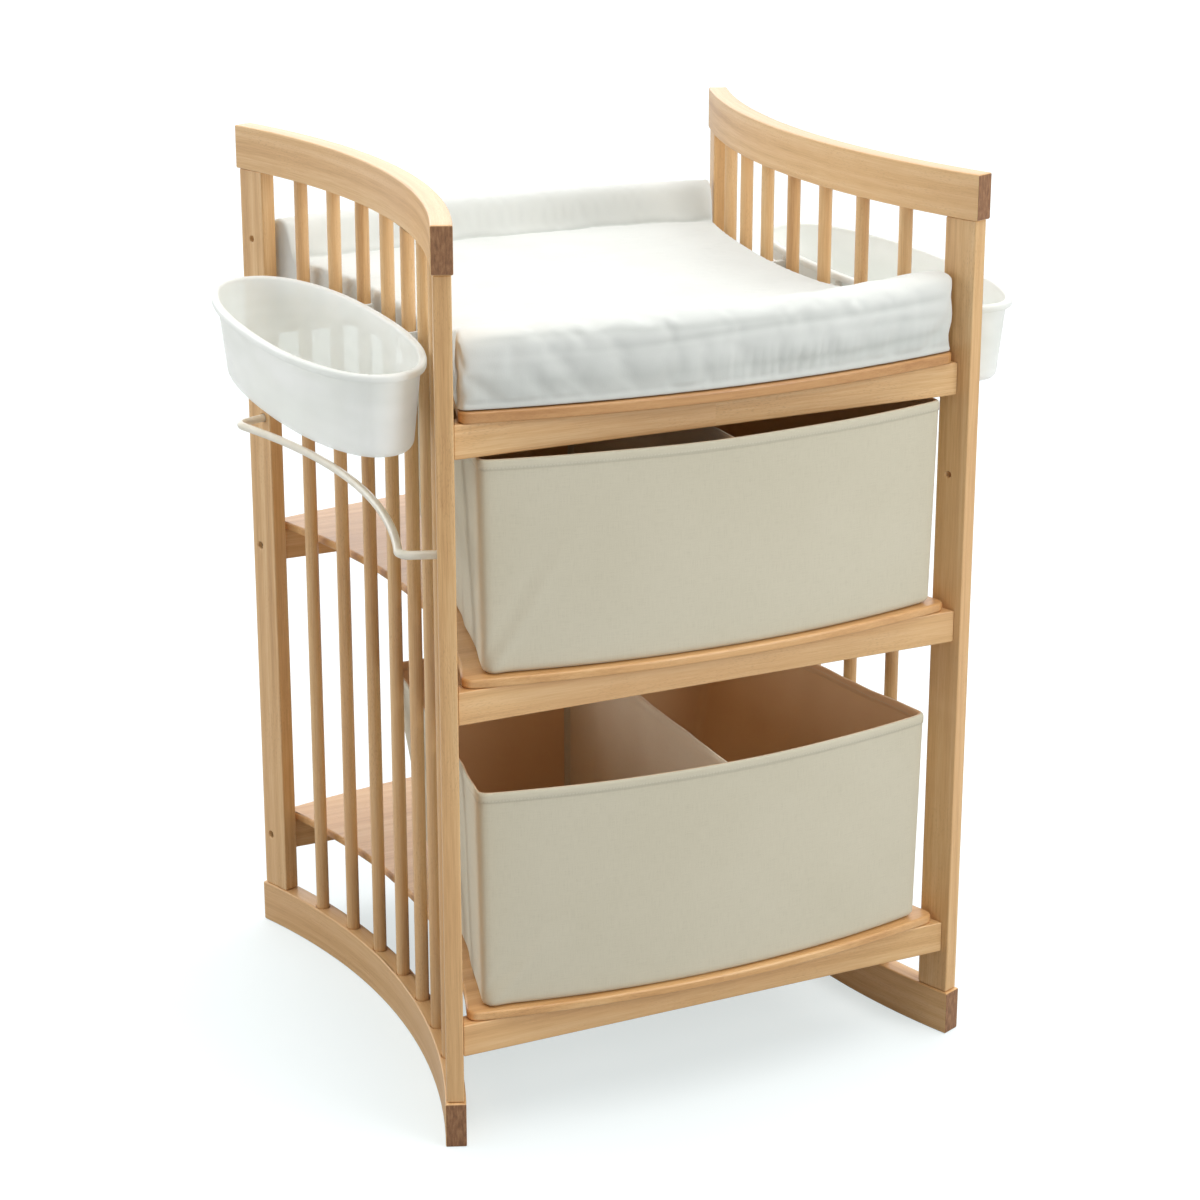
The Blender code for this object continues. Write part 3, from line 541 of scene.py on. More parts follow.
def build_box(prefix, x_mid, body):
    lo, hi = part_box(prefix + "_box_shell")
    z0, z1 = lo.z, hi.z
    h = z1 - z0
    wall_t = 0.0034
    rings = []          # (points, z array, inner flag)
    levels = 54
    seed = 11 if prefix == "upper" else 23

    def shape(t, inset, inner):
        pts, wall, frac = box_loop(t, inset)
        pts = round_loop(pts, 3)
        nrm = loop_normals(pts)
        push = np.zeros(len(pts))
        # fronts: almost flat, a slack belly between the stiff corners
        belly = np.where(wall == 0, np.sin(np.pi * frac) * np.sin(np.pi * np.clip(t, 0, 1)) * -0.0006, 0)
        slack = wobble(seed, (0.0007, (frac * 1.0, np.full(len(pts), t)), (7.0, 3.5))) * np.where(wall == 0, np.sin(np.pi * frac), 0)
        push += belly + slack
        # a diagonal pull from the lower left corner of the front
        if prefix == "upper":
            cx, lean_, run = 0.022, math.radians(60), 0.170
        else:
            cx, lean_, run = 0.024, math.radians(50), 0.115
        along = (frac - cx) * 0.52 / 1.0
        up = t * h - 0.004
        dist = (up * math.cos(lean_) - along * math.sin(lean_)) / 0.0080
        reach = np.clip(1 - np.hypot(along, up) / run, 0, 1)
        push += np.where(wall == 0, (np.exp(-(dist ** 2)) * 0.0026 - np.exp(-((dist - 1.7) ** 2)) * 0.0020) * reach ** 0.6, 0)
        # sides: deep soft folds standing up and down, fading at the top hem and the stiff corners
        foldy = np.where((wall == 1) | (wall == 3), np.sin(np.pi * frac) ** 0.7, 0)
        uu = np.where(wall == 3, 1 - frac, frac)       # 0 at the front corner
        lean = uu + 0.10 * (1 - t) * np.sin(3.0 * uu + seed)
        folds = 0.0021 * np.sin(2 * np.pi * (lean * 3.1 + 0.13 * seed)) + 0.0012 * np.sin(2 * np.pi * (lean * 6.3 + 0.4)) * (0.4 + 0.6 * t)
        folds += wobble(seed + 5, (0.0014, (uu, np.full(len(pts), t)), (9.0, 5.0)))
        fade = 0.35 + 0.65 * np.sin(np.pi * np.clip(t, 0.02, 0.98)) ** 0.6
        push += (folds - 0.0024) * foldy * fade
        # rear: a gentle slack
        push += np.where(wall == 2, wobble(seed + 9, (0.0012, (frac, np.full(len(pts), t)), (8.0, 4.0))) * np.sin(np.pi * frac) - 0.001 * np.sin(np.pi * frac), 0)
        pts = pts + nrm * push[:, None]
        return pts, wall, frac

    def z_of(t, wall, frac):
        """The rim dips a little between the corners."""
        sag = np.zeros(len(wall))
        if t > 0.5:
            k_ = smoothstep((t - 0.5) / 0.5)
            amp = np.select([wall == 0, wall == 2], [0.0008, 0.0022], 0.0030)
            sag = -amp * np.sin(np.pi * frac) * k_
            sag = sag + wobble(seed + 2, (0.0005, (frac,), (11.0,))) * np.sin(np.pi * frac) * k_
        return z0 + h * t + sag

    ts = [0.0] + list(0.004 + (0.996 - 0.004) * (np.arange(levels) / (levels - 1.0)) ** 1.0)
    hem = 0.0105
    # outer wall from the floor up, the bottom edge rounded
    for t in (0.0, 0.0035, 0.010, 0.022):
        inset = 0.0042 * (1 - math.sin(math.pi / 2 * min(1.0, t / 0.022)))
        p, w, fr = shape(t, inset, False)
        rings.append((p, z_of(t, w, fr), 0.0))
    for t in np.linspace(0.04, 1.0 - hem / h - 0.004, levels):
        p, w, fr = shape(t, 0.0, False)
        rings.append((p, z_of(t, w, fr), 0.0))
    # the hem: a folded band, a little thicker than the wall
    t_h = 1.0 - hem / h
    for t, extra in ((t_h - 0.0012, 0.0), (t_h + 0.0006, 0.00055), (t_h + 0.02, 0.0006), (1.0 - 0.010, 0.0005), (1.0 - 0.003, 0.0001)):
        p, w, fr = shape(min(t, 1.0), -extra, False)
        rings.append((p, z_of(t, w, fr), 0.0))
    for inset in (0.0010, 0.0024):
        p, w, fr = shape(1.0, inset, False)
        rings.append((p, z_of(1.0, w, fr) + 0.0002, 0.0 if inset < 0.0017 else 1.0))
    for t, ins in ((1.0 - 0.003, wall_t - 0.0001), (1.0 - 0.010, wall_t + 0.0004), (t_h + 0.0006, wall_t + 0.0005), (t_h - 0.0012, wall_t)):
        p, w, fr = shape(t, ins, True)
        rings.append((p, z_of(t, w, fr), 1.0))
    for t in np.linspace(1.0 - hem / h - 0.004, 0.045, 30):
        p, w, fr = shape(t, wall_t, True)
        rings.append((p, z_of(t, w, fr), 1.0))
    p, w, fr = shape(0.016, wall_t + 0.002, True)
    rings.append((p, z_of(0.016, w, fr) + 0.0006, 1.0))
    n = len(rings[0][0])
    verts, inner = [], []
    for p, z, flag in rings:
        for (x, y), zz in zip(p, z):
            verts.append((x + x_mid, y, zz))
            inner.append(flag)
    faces = []
    for a in range(len(rings) - 1):
        for i in range(n):
            j = (i + 1) % n
            faces.append((a * n + i, a * n + j, (a + 1) * n + j, (a + 1) * n + i))
    # floor inside and out: grids are not needed on flat ground, so each closes to its own middle ring
    def close(first, shrink_steps, z_shift):
        base = [verts[first + i] for i in range(n)]
        cx = sum(v[0] for v in base) / n
        cy = sum(v[1] for v in base) / n
        prev = [first + i for i in range(n)]
        for s in shrink_steps:
            ring = []
            for i in range(n):
                x, y, z = base[i]
                verts.append((cx + (x - cx) * s, cy + (y - cy) * s, z + z_shift))
                inner.append(inner[first])
                ring.append(len(verts) - 1)
            for i in range(n):
                j = (i + 1) % n
                faces.append((prev[i], prev[j], ring[j], ring[i]))
            prev = ring
        faces.append(tuple(prev))
    close(0, (0.96, 0.6, 0.2), 0.0)
    close((len(rings) - 1) * n, (0.96, 0.6, 0.2), 0.0)
    # inside colour: the lining's beige with painted warm bounce light from the wood
    mat = canvas(prefix + "_canvas", srgb(209, 203, 181), srgb(213, 207, 186), hem_z=z1 - 0.0085, inside=srgb(240, 202, 158))
    obj = add_mesh(prefix + "_box_canvas", verts, faces, mat)
    att = obj.data.attributes.new("inner", "FLOAT", "POINT")
    att.data.foreach_set("value", np.array(inner, np.float32))
    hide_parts(prefix + "_box_shell")
    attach(obj, body)

    # divider: a thin cloth-covered panel with standing folds and a light hem
    dlo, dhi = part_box(prefix + "_box_divider")
    nu, nv = 90, 44
    xc = (dlo.x + dhi.x) / 2
    dverts, dface = [], []
    half = 0.0016
    grid = {}
    for s, sgn in ((0, -1), (1, 1)):
        for a in range(nu + 1):
            for b in range(nv + 1):
                u, v = a / nu, b / nv
                zz = dlo.z + (dhi.z - dlo.z) * v
                t = (zz - z0) / h
                f, r, y0, y1 = box_corner_plan(t, 0.0042)
                yf = -y0 - BOX_BOW * (1 - ((xc - x_mid) / f) ** 2) + 0.0006
                yr = y1 - 0.0004
                y = yf + (yr - yf) * u
                env = math.sin(math.pi * u) ** 0.5 if 0 < u < 1 else 0.0
                fold = 0.0022 * math.sin(2 * math.pi * (u * 3.3 + 0.09 * v + 0.1 * seed)) + 0.0010 * math.sin(2 * math.pi * (u * 7.4 + 0.3 * v))
                x = xc + fold * env * (0.6 + 0.4 * v) * (1 - 0.75 * smoothstep((v - 0.5) / 0.45))
                hemk = 1.0 + 0.55 * smoothstep((v - 0.955) / 0.01) - 0.9 * max(0.0, (v - 0.985) / 0.015) ** 2
                grid[(s, a, b)] = len(dverts)
                dverts.append((x + sgn * half * hemk, y, zz - 0.0012 * math.sin(math.pi * u) * v))
    for s in (0, 1):
        for a in range(nu):
            for b in range(nv):
                dface.append((grid[(s, a, b)], grid[(s, a + 1, b)], grid[(s, a + 1, b + 1)], grid[(s, a, b + 1)]))
    for a in range(nu):
        for b in (0, nv):
            dface.append((grid[(0, a, b)], grid[(0, a + 1, b)], grid[(1, a + 1, b)], grid[(1, a, b)]))
    for b in range(nv):
        for a in (0, nu):
            dface.append((grid[(0, a, b)], grid[(0, a, b + 1)], grid[(1, a, b + 1)], grid[(1, a, b)]))
    dm = canvas(prefix + "_lining", srgb(243, 229, 202), srgb(248, 236, 212), hem_z=dhi.z - 0.0095, weave=0.0007)
    dob = add_mesh(prefix + "_box_panel", dverts, dface, dm)
    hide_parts(prefix + "_box_divider")
    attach(dob, body)
    # binding tape at the divider's two ends, sewn to the walls
    tapes = []
    for end_u, yy in ((0, None), (1, None)):
        t = (dhi.z - z0) / h
        f, r, y0, y1 = box_corner_plan(t, 0.0040)
        y = (-y0 - BOX_BOW * (1 - ((xc - x_mid) / f) ** 2)) if end_u == 0 else y1
        inward = 1 if end_u == 0 else -1
        tv, tf = [], []
        rows, cols = 24, 10
        for side_ in (0, 1):
            for a in range(rows + 1):
                for b in range(cols + 1):
                    v = a / rows
                    w_ = -1 + 2 * b / cols
                    zz = dlo.z + 0.004 + (dhi.z + 0.003 - dlo.z - 0.004) * v
                    tt = (zz - z0) / h
                    f2, r2, y02, y12 = box_corner_plan(tt, 0.0040)
                    yb = (-y02 - BOX_BOW * (1 - ((xc - x_mid) / f2) ** 2)) if end_u == 0 else y12
                    bulge = 0.0021 * math.exp(-(w_ * 2.2) ** 2)
                    off = (0.0003 + bulge + (0.0007 if side_ else 0.0)) * inward
                    tv.append((xc + w_ * 0.0085, yb + off, zz))
        def idx(s, a, b):
            return s * (rows + 1) * (cols + 1) + a * (cols + 1) + b
        for s in (0, 1):
            for a in range(rows):
                for b in range(cols):
                    tf.append((idx(s, a, b), idx(s, a + 1, b), idx(s, a + 1, b + 1), idx(s, a, b + 1)))
        for a in range(rows):
            for b in (0, cols):
                tf.append((idx(0, a, b), idx(0, a + 1, b), idx(1, a + 1, b), idx(1, a, b)))
        for b in range(cols):
            for a in (0, rows):
                tf.append((idx(0, a, b), idx(0, a, b + 1), idx(1, a, b + 1), idx(1, a, b)))
        tob = add_mesh(f"{prefix}_box_tape_{'front' if end_u == 0 else 'rear'}", tv, tf, TAPE)
        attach(tob, body)
        tapes.append(tob)
    # the loose board in the bottom keeps its CAD shape under a lining cloth
    finish_cad(prefix + "_box_base", canvas(prefix + "_base_cloth", srgb(196, 176, 142), srgb(204, 186, 154)), 0.0009, 2)
    return obj


TAPE = canvas("binding_tape", srgb(222, 214, 192), srgb(230, 223, 204), weave=0.0006)
build_box("lower", LOWER_BOX_X, "lower_box")
build_box("upper", UPPER_BOX_X, "upper_box")


# ---------------------------------------------------------------- changing pad
def pad_height(df, dr, side):
    """Height of the lying surface above the underside, from the distances to the front and the rear edge."""
    front = np.interp(df, [0.0, 0.0015, 0.004, 0.0075, 0.012, 0.018, 0.026, 0.040, 0.063, 0.10, 0.125, 0.145, 0.17, 0.20, 0.27, 0.35, 0.41],
                      [0.0655, 0.0705, 0.0750, 0.0778, 0.0796, 0.0803, 0.0795, 0.0765, 0.0685, 0.0550, 0.0468, 0.0420, 0.0388, 0.0376, 0.0380, 0.0400, 0.0415])
    rear = np.interp(dr, [0.0, 0.0015, 0.004, 0.008, 0.013, 0.019, 0.025, 0.030, 0.0345, 0.038, 0.041, 0.045, 0.050, 0.056, 0.064, 0.09],
                     [0.0680, 0.0730, 0.0775, 0.0812, 0.0832, 0.0836, 0.0822, 0.0785, 0.0710, 0.0600, 0.0490, 0.0418, 0.0392, 0.0404, 0.0414, 0.0415])
    h = rear if dr < 0.09 else front
    if df < 0.12:      # the front wedge is a little fuller to the right, lower to the left
        h += (0.0026 * side if side > 0 else 0.0058 * side) * (1 - df / 0.12) * abs(side) ** 1.5
    return h


def pad_mesh():
    """The stuffed body at rest: a fine closed grid over lying surface, wedge, rear roll, sides and foot."""
    lo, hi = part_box("changing_pad")
    z0 = lo.z
    edge, bow, shrink = 0.2865, 0.0315, 0.0010
    near = [0.0, 0.0014, 0.0034, 0.0060, 0.0095]
    nx, ny = 88, 96
    rc, re = 0.0100, 0.0055
    rows_f = near + [0.014, 0.019, 0.0245]
    rows_r = near + [0.0135, 0.018, 0.0225, 0.0265, 0.030, 0.033, 0.0358, 0.0385, 0.0412, 0.044, 0.047, 0.0502, 0.054, 0.059]

    def place(df_abs, dside):
        """Plan position from the distances to the front (or rear) edge and to the nearer side, corners rounded."""
        if df_abs < rc and dside < rc:
            u, v = 1 - df_abs / rc, 1 - dside / rc
            m, l = max(u, v), math.hypot(u, v)
            if l > 0:
                u, v = u * m / l, v * m / l
            return rc * (1 - u), rc * (1 - v)
        return df_abs, dside

    verts, faces = [], []
    cols = [("l", d) for d in near] + [("m", k_ / (nx + 1)) for k_ in range(1, nx + 1)] + [("r", d) for d in near[::-1]]
    rows = [("f", d) for d in rows_f] + [("m", k_ / (ny + 1)) for k_ in range(1, ny + 1)] + [("b", d) for d in rows_r[::-1]]
    nc, nr = len(cols), len(rows)
    half0 = arc_x(edge, ARC_R + RAIL_THICK + 0.002) - shrink
    top = {}
    for b, (rk, rv) in enumerate(rows):
        for a, (ck, cv) in enumerate(cols):
            # where along the width, for the bow of the front and rear edges
            if ck == "m":
                w = near[-1] + cv * (2 * half0 - 2 * near[-1])
            else:
                w = cv if ck == "l" else 2 * half0 - cv
            s = w / half0 - 1
            depth = edge + bow * (1 - s * s) - shrink
            span = 2 * depth
            if rk == "f":
                df = rv
            elif rk == "b":
                df = span - rv
            else:
                df = rows_f[-1] + rv * (span - rows_f[-1] - rows_r[-1])
            dr = span - df
            dside = min(w, 2 * half0 - w)
            dn, dside2 = place(min(df, dr), dside)
            near_front = df < dr
            y = -depth + dn if near_front else depth - dn
            half = arc_x(max(-edge, min(edge, y)), ARC_R + RAIL_THICK + 0.002) - shrink
            x = math.copysign((half0 - dside2) / half0 * half if dside > near[-1] else half - dside2, s)
            h = pad_height(dn if near_front else span - dn, span - dn if near_front else dn, s)
            if dside2 < re:
                h -= re - math.sqrt(max(0.0, re * re - (re - dside2) ** 2))
            top[(a, b)] = len(verts)
            verts.append((x, y, z0 + h))
    ring = [(a, 0) for a in range(nc)] + [(nc - 1, b) for b in range(1, nr)] + [(a, nr - 1) for a in range(nc - 2, -1, -1)] + [(0, b) for b in range(nr - 2, 0, -1)]
    for b in range(nr - 1):
        for a in range(nc - 1):
            faces.append((top[(a, b)], top[(a + 1, b)], top[(a + 1, b + 1)], top[(a, b + 1)]))
    # the sides: a little fuller half way down, drawn in at the foot
    levels = 13
    prev = [top[q] for q in ring]
    ends = []
    for k_ in range(1, levels + 1):
        f = k_ / levels
        cur = []
        for q in ring:
            x, y, z = verts[top[q]]
            full = max(0.0, (abs(y) - 0.275) / 0.02)
            full = min(1.0, full)
            out = full * 0.0016 * math.sin(math.pi * f) ** 1.2
            zz = z + (z0 + 0.0002 - z) * f
            foot = max(0.0, 1 - (zz - z0) / 0.007)
            out -= 0.0030 * foot * foot
            verts.append((x + math.copysign(min(0.0, out), x) * (1 - full), y + math.copysign(out, y) * (full if out > 0 else min(1.0, full + 0.0)), zz))
            cur.append(len(verts) - 1)
        for i in range(len(ring)):
            j = (i + 1) % len(ring)
            faces.append((prev[j], prev[i], cur[i], cur[j]))
        prev = cur
    # the underside on the same grid
    low = {q: prev[i] for i, q in enumerate(ring)}
    for b in range(nr):
        for a in range(nc):
            if (a, b) not in low:
                x, y, _ = verts[top[(a, b)]]
                k1 = 1 - 0.003 / max(0.2, abs(y)) if abs(y) > 0.24 else 1.0
                low[(a, b)] = len(verts)
                verts.append((x * 0.994, y * k1 * 0.996, z0 + 0.0002))
    for b in range(nr - 1):
        for a in range(nc - 1):
            faces.append((low[(a, b)], low[(a, b + 1)], low[(a + 1, b + 1)], low[(a + 1, b)]))
    return verts, faces


def apply_modifiers(obj):
    dg = bpy.context.evaluated_depsgraph_get()
    dg.update()
    mesh = bpy.data.meshes.new_from_object(obj.evaluated_get(dg), depsgraph=dg)
    obj.modifiers.clear()
    old = obj.data
    obj.data = mesh
    bpy.data.meshes.remove(old)


def coords(obj):
    co = np.empty(len(obj.data.vertices) * 3)
    obj.data.vertices.foreach_get("co", co)
    return co.reshape(-1, 3)


def put_coords(obj, co):
    obj.data.vertices.foreach_set("co", co.ravel())
    obj.data.update()


COTTON = cotton("pad_cotton")
verts, faces = pad_mesh()
pad = add_mesh("pad_cover", verts, faces, COTTON)
rest_co = coords(pad)
PAD_LO, PAD_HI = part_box("changing_pad")
cl = pad.modifiers.new("cloth", "CLOTH")
cs = cl.settings
cs.quality = 6
cs.mass = 0.25
cs.tension_stiffness = cs.compression_stiffness = 12.0
cs.shear_stiffness = 6.0
cs.bending_stiffness = 0.5
cs.tension_damping = cs.compression_damping = cs.shear_damping = 12
cs.bending_damping = 0.5
cs.use_pressure = True
cs.uniform_pressure_force = 1.6
cs.shrink_min = -0.022
cs.effector_weights.gravity = 0.0
cl.collision_settings.use_collision = False
cl.collision_settings.use_self_collision = False
pins = pad.vertex_groups.new(name="pins")
w = np.clip(1 - (rest_co[:, 2] - PAD_LO.z) / 0.010, 0, 1)
# the foam holds the lying surface: it only gives a little there
inner_y = np.clip((rest_co[:, 1] + 0.235) / 0.06, 0, 1) * np.clip((0.300 - rest_co[:, 1]) / 0.03, 0, 1)
w = np.maximum(w, 0.12 + 0.40 * inner_y)
for i, wi in enumerate(w):
    if wi > 0.001:
        pins.add([i], float(wi), "REPLACE")
cs.vertex_group_mass = "pins"
cs.pin_stiffness = 1.0
scene.frame_start, scene.frame_end = 1, 20
cl.point_cache.frame_start, cl.point_cache.frame_end = 1, 20
for fr in range(1, 21):
    scene.frame_set(fr)
apply_modifiers(pad)
pad.vertex_groups.clear()
moved = coords(pad)
d = moved - rest_co
dist = np.linalg.norm(d, axis=1)
cap = 0.0030
scale = np.where(dist > 1e-9, cap * np.tanh(dist / cap) / np.maximum(dist, 1e-9), 1.0)
co = rest_co + d * scale[:, None]
put_coords(pad, co)
scene.frame_set(1)


def post_pad(obj):
    """Gathers, seam, painted shade in the creases and low on the front, and the limits that keep the pad on its deck
    and between the gables.
    """
    co = coords(obj)
    nrm = np.empty(len(co) * 3)
    obj.data.vertices.foreach_get("normal", nrm)
    nrm = nrm.reshape(-1, 3)
    x, y, z = co.T
    zl = z - PAD_LO.z
    front = smoothstep((-y - 0.255) / 0.02) * np.clip(-nrm[:, 1], 0, 1)
    rear = smoothstep((y - 0.255) / 0.02) * np.clip(nrm[:, 1], 0, 1)
    crease_shade = np.zeros(len(co))
    # gathers over the elastic hem, strongest right of the middle on the front, with painted shade in their troughs
    place = np.exp(-((x - 0.125) / 0.085) ** 2) + 0.10
    low = smoothstep((0.046 - zl) / 0.022) * smoothstep((zl - 0.004) / 0.006)
    phase = x * 2 * math.pi / 0.0105 + 2.1 * np.sin(x * 41.0) + 1.1 * np.sin(x * 97.0 + zl * 60.0)
    g = np.sin(phase) * (0.55 + 0.45 * np.sin(x * 23.0 + 1.0))
    push = g * 0.00062 * place * low * front
    crease_shade += 0.8 * np.clip(-g, 0, 1) * place * low * front
    g2 = np.sin(x * 2 * math.pi / 0.013 + 1.3 * np.sin(x * 37.0)) * (0.6 + 0.4 * np.sin(x * 19.0 + 2.0))
    push += g2 * 0.0006 * low * rear
    # long soft creases lying along the front, from the hem's pull, with painted shade along them
    for zc, amp_, wd, ph in ((0.056, 0.0009, 0.0034, 0.3), (0.043, 0.0008, 0.0042, 1.7), (0.066, 0.0006, 0.0036, 2.9), (0.024, 0.0006, 0.0035, 4.1)):
        zz = zc + 0.0035 * np.sin(x * 7.0 + ph) + 0.0012 * np.sin(x * 23.0 + ph * 2)
        vis = 0.25 + 0.75 * smoothstep(0.5 + 0.9 * np.sin(x * 7.0 + ph * 3))
        prof = np.exp(-((zl - zz) / wd) ** 2) * (1 - smoothstep((np.abs(x) - 0.245) / 0.030))
        push += -amp_ * prof * vis * front
        crease_shade += 0.45 * prof * vis * front
    # painted shade: the front darkens towards its foot
    crease_shade += 0.55 * smoothstep((0.052 - zl) / 0.034) * front
    # the sharp fold where the lying surface meets the rear roll, pressed in and darkened with painted shade
    half0 = arc_x(0.2865, ARC_R + RAIL_THICK + 0.002)
    dr = 0.2865 + 0.0315 * (1 - (x / half0) ** 2) - y
    fold = np.exp(-((dr - 0.0485 - 0.0010 * np.sin(x * 31.0) - 0.0006 * np.sin(x * 83.0 + 1.0)) / 0.0022) ** 2) * np.clip(nrm[:, 2] * 2, 0, 1)
    push += -0.0016 * fold
    crease_shade += 0.9 * fold
    # seam of the hem along the foot
    seam = np.exp(-((zl - 0.0072) / 0.0012) ** 2)
    push += -0.0009 * seam * (front + rear)
    co = co + nrm * push[:, None]
    # keep to the deck, and let the ends rest against the posts
    co[:, 2] = np.maximum(co[:, 2], PAD_LO.z)
    rr = np.hypot(ARC_X - np.abs(co[:, 0]), co[:, 1])
    lim = ARC_R + RAIL_THICK + 0.0006
    over = rr < lim
    f = np.where(over, lim / np.maximum(rr, 1e-9), 1.0)
    ax = (ARC_X - np.abs(co[:, 0])) * f
    co[:, 0] = np.where(over, np.sign(co[:, 0]) * (ARC_X - ax), co[:, 0])
    co[:, 1] = np.where(over, co[:, 1] * f, co[:, 1])
    put_coords(obj, co)
    att = obj.data.attributes.get("crease_shade") or obj.data.attributes.new("crease_shade", "FLOAT", "POINT")
    att.data.foreach_set("value", np.clip(crease_shade, 0, 1).astype(np.float32))


sub = pad.modifiers.new("fine", "SUBSURF")
sub.levels = sub.render_levels = 1
apply_modifiers(pad)
post_pad(pad)
pad.data.shade_smooth()
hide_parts("changing_pad")
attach(pad, "pad")


# ---------------------------------------------------------------- hanging bins
def frosted(name):
    k = Kit(name)
    x, y, z = k.split(k.coord)
    fine = k.noise(k.coord, 1400, 2, 0.5)
    flow = k.noise(k.mapping(k.coord, scale=(6, 6, 22)), 1.0, 2, 0.5)
    haze = k.noise(k.coord, 34, 3, 0.5)
    col = k.mix(k.span(flow, 0.3, 0.7), srgb(238, 241, 236), srgb(246, 248, 245))
    col = k.mix(k.span(haze, 0.45, 0.75, 0.0, 0.12), col, srgb(222, 226, 220))
    k.set(Base_Color=col, Roughness=k.span(haze, 0.3, 0.7, 0.34, 0.48), Alpha=k.span(flow, 0.2, 0.8, 0.67, 0.75),
          Normal=k.bump(fine, 0.00004, 0.5))
    # painted light: a faint glow standing in for light carried inside the milky wall
    k.set(Emission_Color=(1.0, 1.0, 0.965, 1.0), Emission_Strength=k.span(haze, 0.3, 0.7, 0.050, 0.064))
    k.set(Specular_IOR_Level=0.45, Subsurface_Weight=0.15, Subsurface_Radius=(0.01, 0.01, 0.01), Subsurface_Scale=0.4)
    return k.mat


def bin_loop(side, grow, steps=168):
    pts = []
    power = 2.0 / 2.25
    for i in range(steps):
        a = 2 * math.pi * i / steps
        c, s = math.cos(a), math.sin(a)
        x = (BIN_HALF_W + grow) * math.copysign(abs(c) ** power, c)
        y = (BIN_HALF_L + grow) * math.copysign(abs(s) ** power, s)
        pts.append((side * BIN_X + x, BIN_Y + y))
    return pts


def even_loop(pts):
    """Spaces a closed loop's points evenly along it."""
    p = np.array(pts + [pts[0]])
    d = np.r_[0, np.cumsum(np.linalg.norm(np.diff(p, axis=0), axis=1))]
    u = np.linspace(0, d[-1], len(pts), endpoint=False)
    return np.stack([np.interp(u, d, p[:, 0]), np.interp(u, d, p[:, 1])], 1)


def build_bin(side_name, side):
    z1 = BIN_RIM_Z
    z0 = BIN_RIM_Z - BIN_H
    prof = []   # (grow, z) from the outside bottom up, over the rim and down inside
    r_b = 0.0075
    for i in range(7):
        q = math.pi / 2 * i / 6
        prof.append((-BIN_TAPER - r_b + r_b * math.sin(q), z0 + r_b - r_b * math.cos(q)))
    for v in np.linspace(0.10, 0.93, 12):
        prof.append((-BIN_TAPER * (1 - v), z0 + r_b + (BIN_H - r_b - 0.003) * v))
    # rolled rim: out, down the lip, back up over the top
    prof += [(-0.0003, z1 - 0.0042), (0.0004, z1 - 0.0031), (0.0020, z1 - 0.0027), (BIN_FLANGE - 0.0024, z1 - 0.0027),
             (BIN_FLANGE - 0.0016, z1 - 0.0034), (BIN_FLANGE - 0.0015, z1 - BIN_LIP + 0.0006), (BIN_FLANGE - 0.0012, z1 - BIN_LIP),
             (BIN_FLANGE - 0.0003, z1 - BIN_LIP), (BIN_FLANGE, z1 - BIN_LIP + 0.0006), (BIN_FLANGE, z1 - 0.0026),
             (BIN_FLANGE - 0.0006, z1 - 0.0010), (BIN_FLANGE - 0.0020, z1 - 0.0001), (0.0022, z1), (-BIN_WALL + 0.0018, z1 - 0.0002),
             (-BIN_WALL + 0.0004, z1 - 0.0011), (-BIN_WALL - 0.0001, z1 - 0.0030)]
    for v in np.linspace(0.93, 0.10, 12):
        prof.append((-BIN_TAPER * (1 - v) - BIN_WALL, z0 + r_b + (BIN_H - r_b - 0.003) * v))
    r_i = 0.0060
    for i in range(6, -1, -1):
        q = math.pi / 2 * i / 6
        prof.append((-BIN_TAPER - BIN_WALL - r_i + r_i * math.sin(q), z0 + BIN_WALL + r_i - r_i * math.cos(q)))
    verts, faces = [], []
    n = 168
    for g, z in prof:
        for x, y in even_loop(bin_loop(side, g)):
            verts.append((x, y, z))
    for a in range(len(prof) - 1):
        for i in range(n):
            j = (i + 1) % n
            faces.append((a * n + i, a * n + j, (a + 1) * n + j, (a + 1) * n + i))
    for first in (0, (len(prof) - 1) * n):
        prev = [first + i for i in range(n)]
        cx, cy = side * BIN_X, BIN_Y
        for s in (0.9, 0.5, 0.12):
            ring = []
            for i in range(n):
                x, y, z = verts[first + i]
                verts.append((cx + (x - cx) * s, cy + (y - cy) * s, z))
                ring.append(len(verts) - 1)
            for i in range(n):
                j = (i + 1) % n
                faces.append((prev[i], prev[j], ring[j], ring[i]))
            prev = ring
        faces.append(tuple(prev))
    obj = add_mesh(side_name + "_bin_tub", verts, faces, FROSTED)
    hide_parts(side_name + "_bin")
    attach(obj, side_name + "_bin_body")


FROSTED = frosted("frosted_plastic")
build_bin("left", -1)
build_bin("right", 1)


# ---------------------------------------------------------------- towel bar
def lacquer():
    k = Kit("bar_lacquer")
    n = k.noise(k.coord, 60, 2, 0.5)
    peel = k.noise(k.coord, 300, 1, 0.4)
    col = k.ramp(n, [(0.3, srgb(232, 226, 206)), (0.7, srgb(241, 236, 220))])
    k.set(Base_Color=col, Roughness=k.span(n, 0.3, 0.7, 0.28, 0.34), Normal=k.bump(peel, 0.000012, 0.25))
    k.set(Coat_Weight=0.4, Coat_Roughness=0.15)
    return k.mat


def bar_path():
    run_r = ARC_R - BAR_STANDOFF
    leg = math.radians(BAR_LEG_DEG)
    bend = 0.013
    pts = []
    for end in (-1, 1):
        half = []
        for r in np.linspace(POST_OUT_R + 0.0060, run_r + bend, 8):
            half.append(polar(r, end * leg, -1))
        for i in range(1, 16):
            q = math.pi / 2 * i / 16
            r = run_r + bend - bend * math.sin(q)
            a = leg - (bend - bend * math.cos(q)) / run_r
            half.append(polar(r, end * a, -1))
        if end == -1:
            pts += half
            first = leg - bend / run_r
            for i in range(91):
                pts.append(polar(run_r, -first + 2 * first * i / 90, -1))
        else:
            pts += half[::-1]
    return [Vector((x, y, BAR_Z)) for x, y in pts]


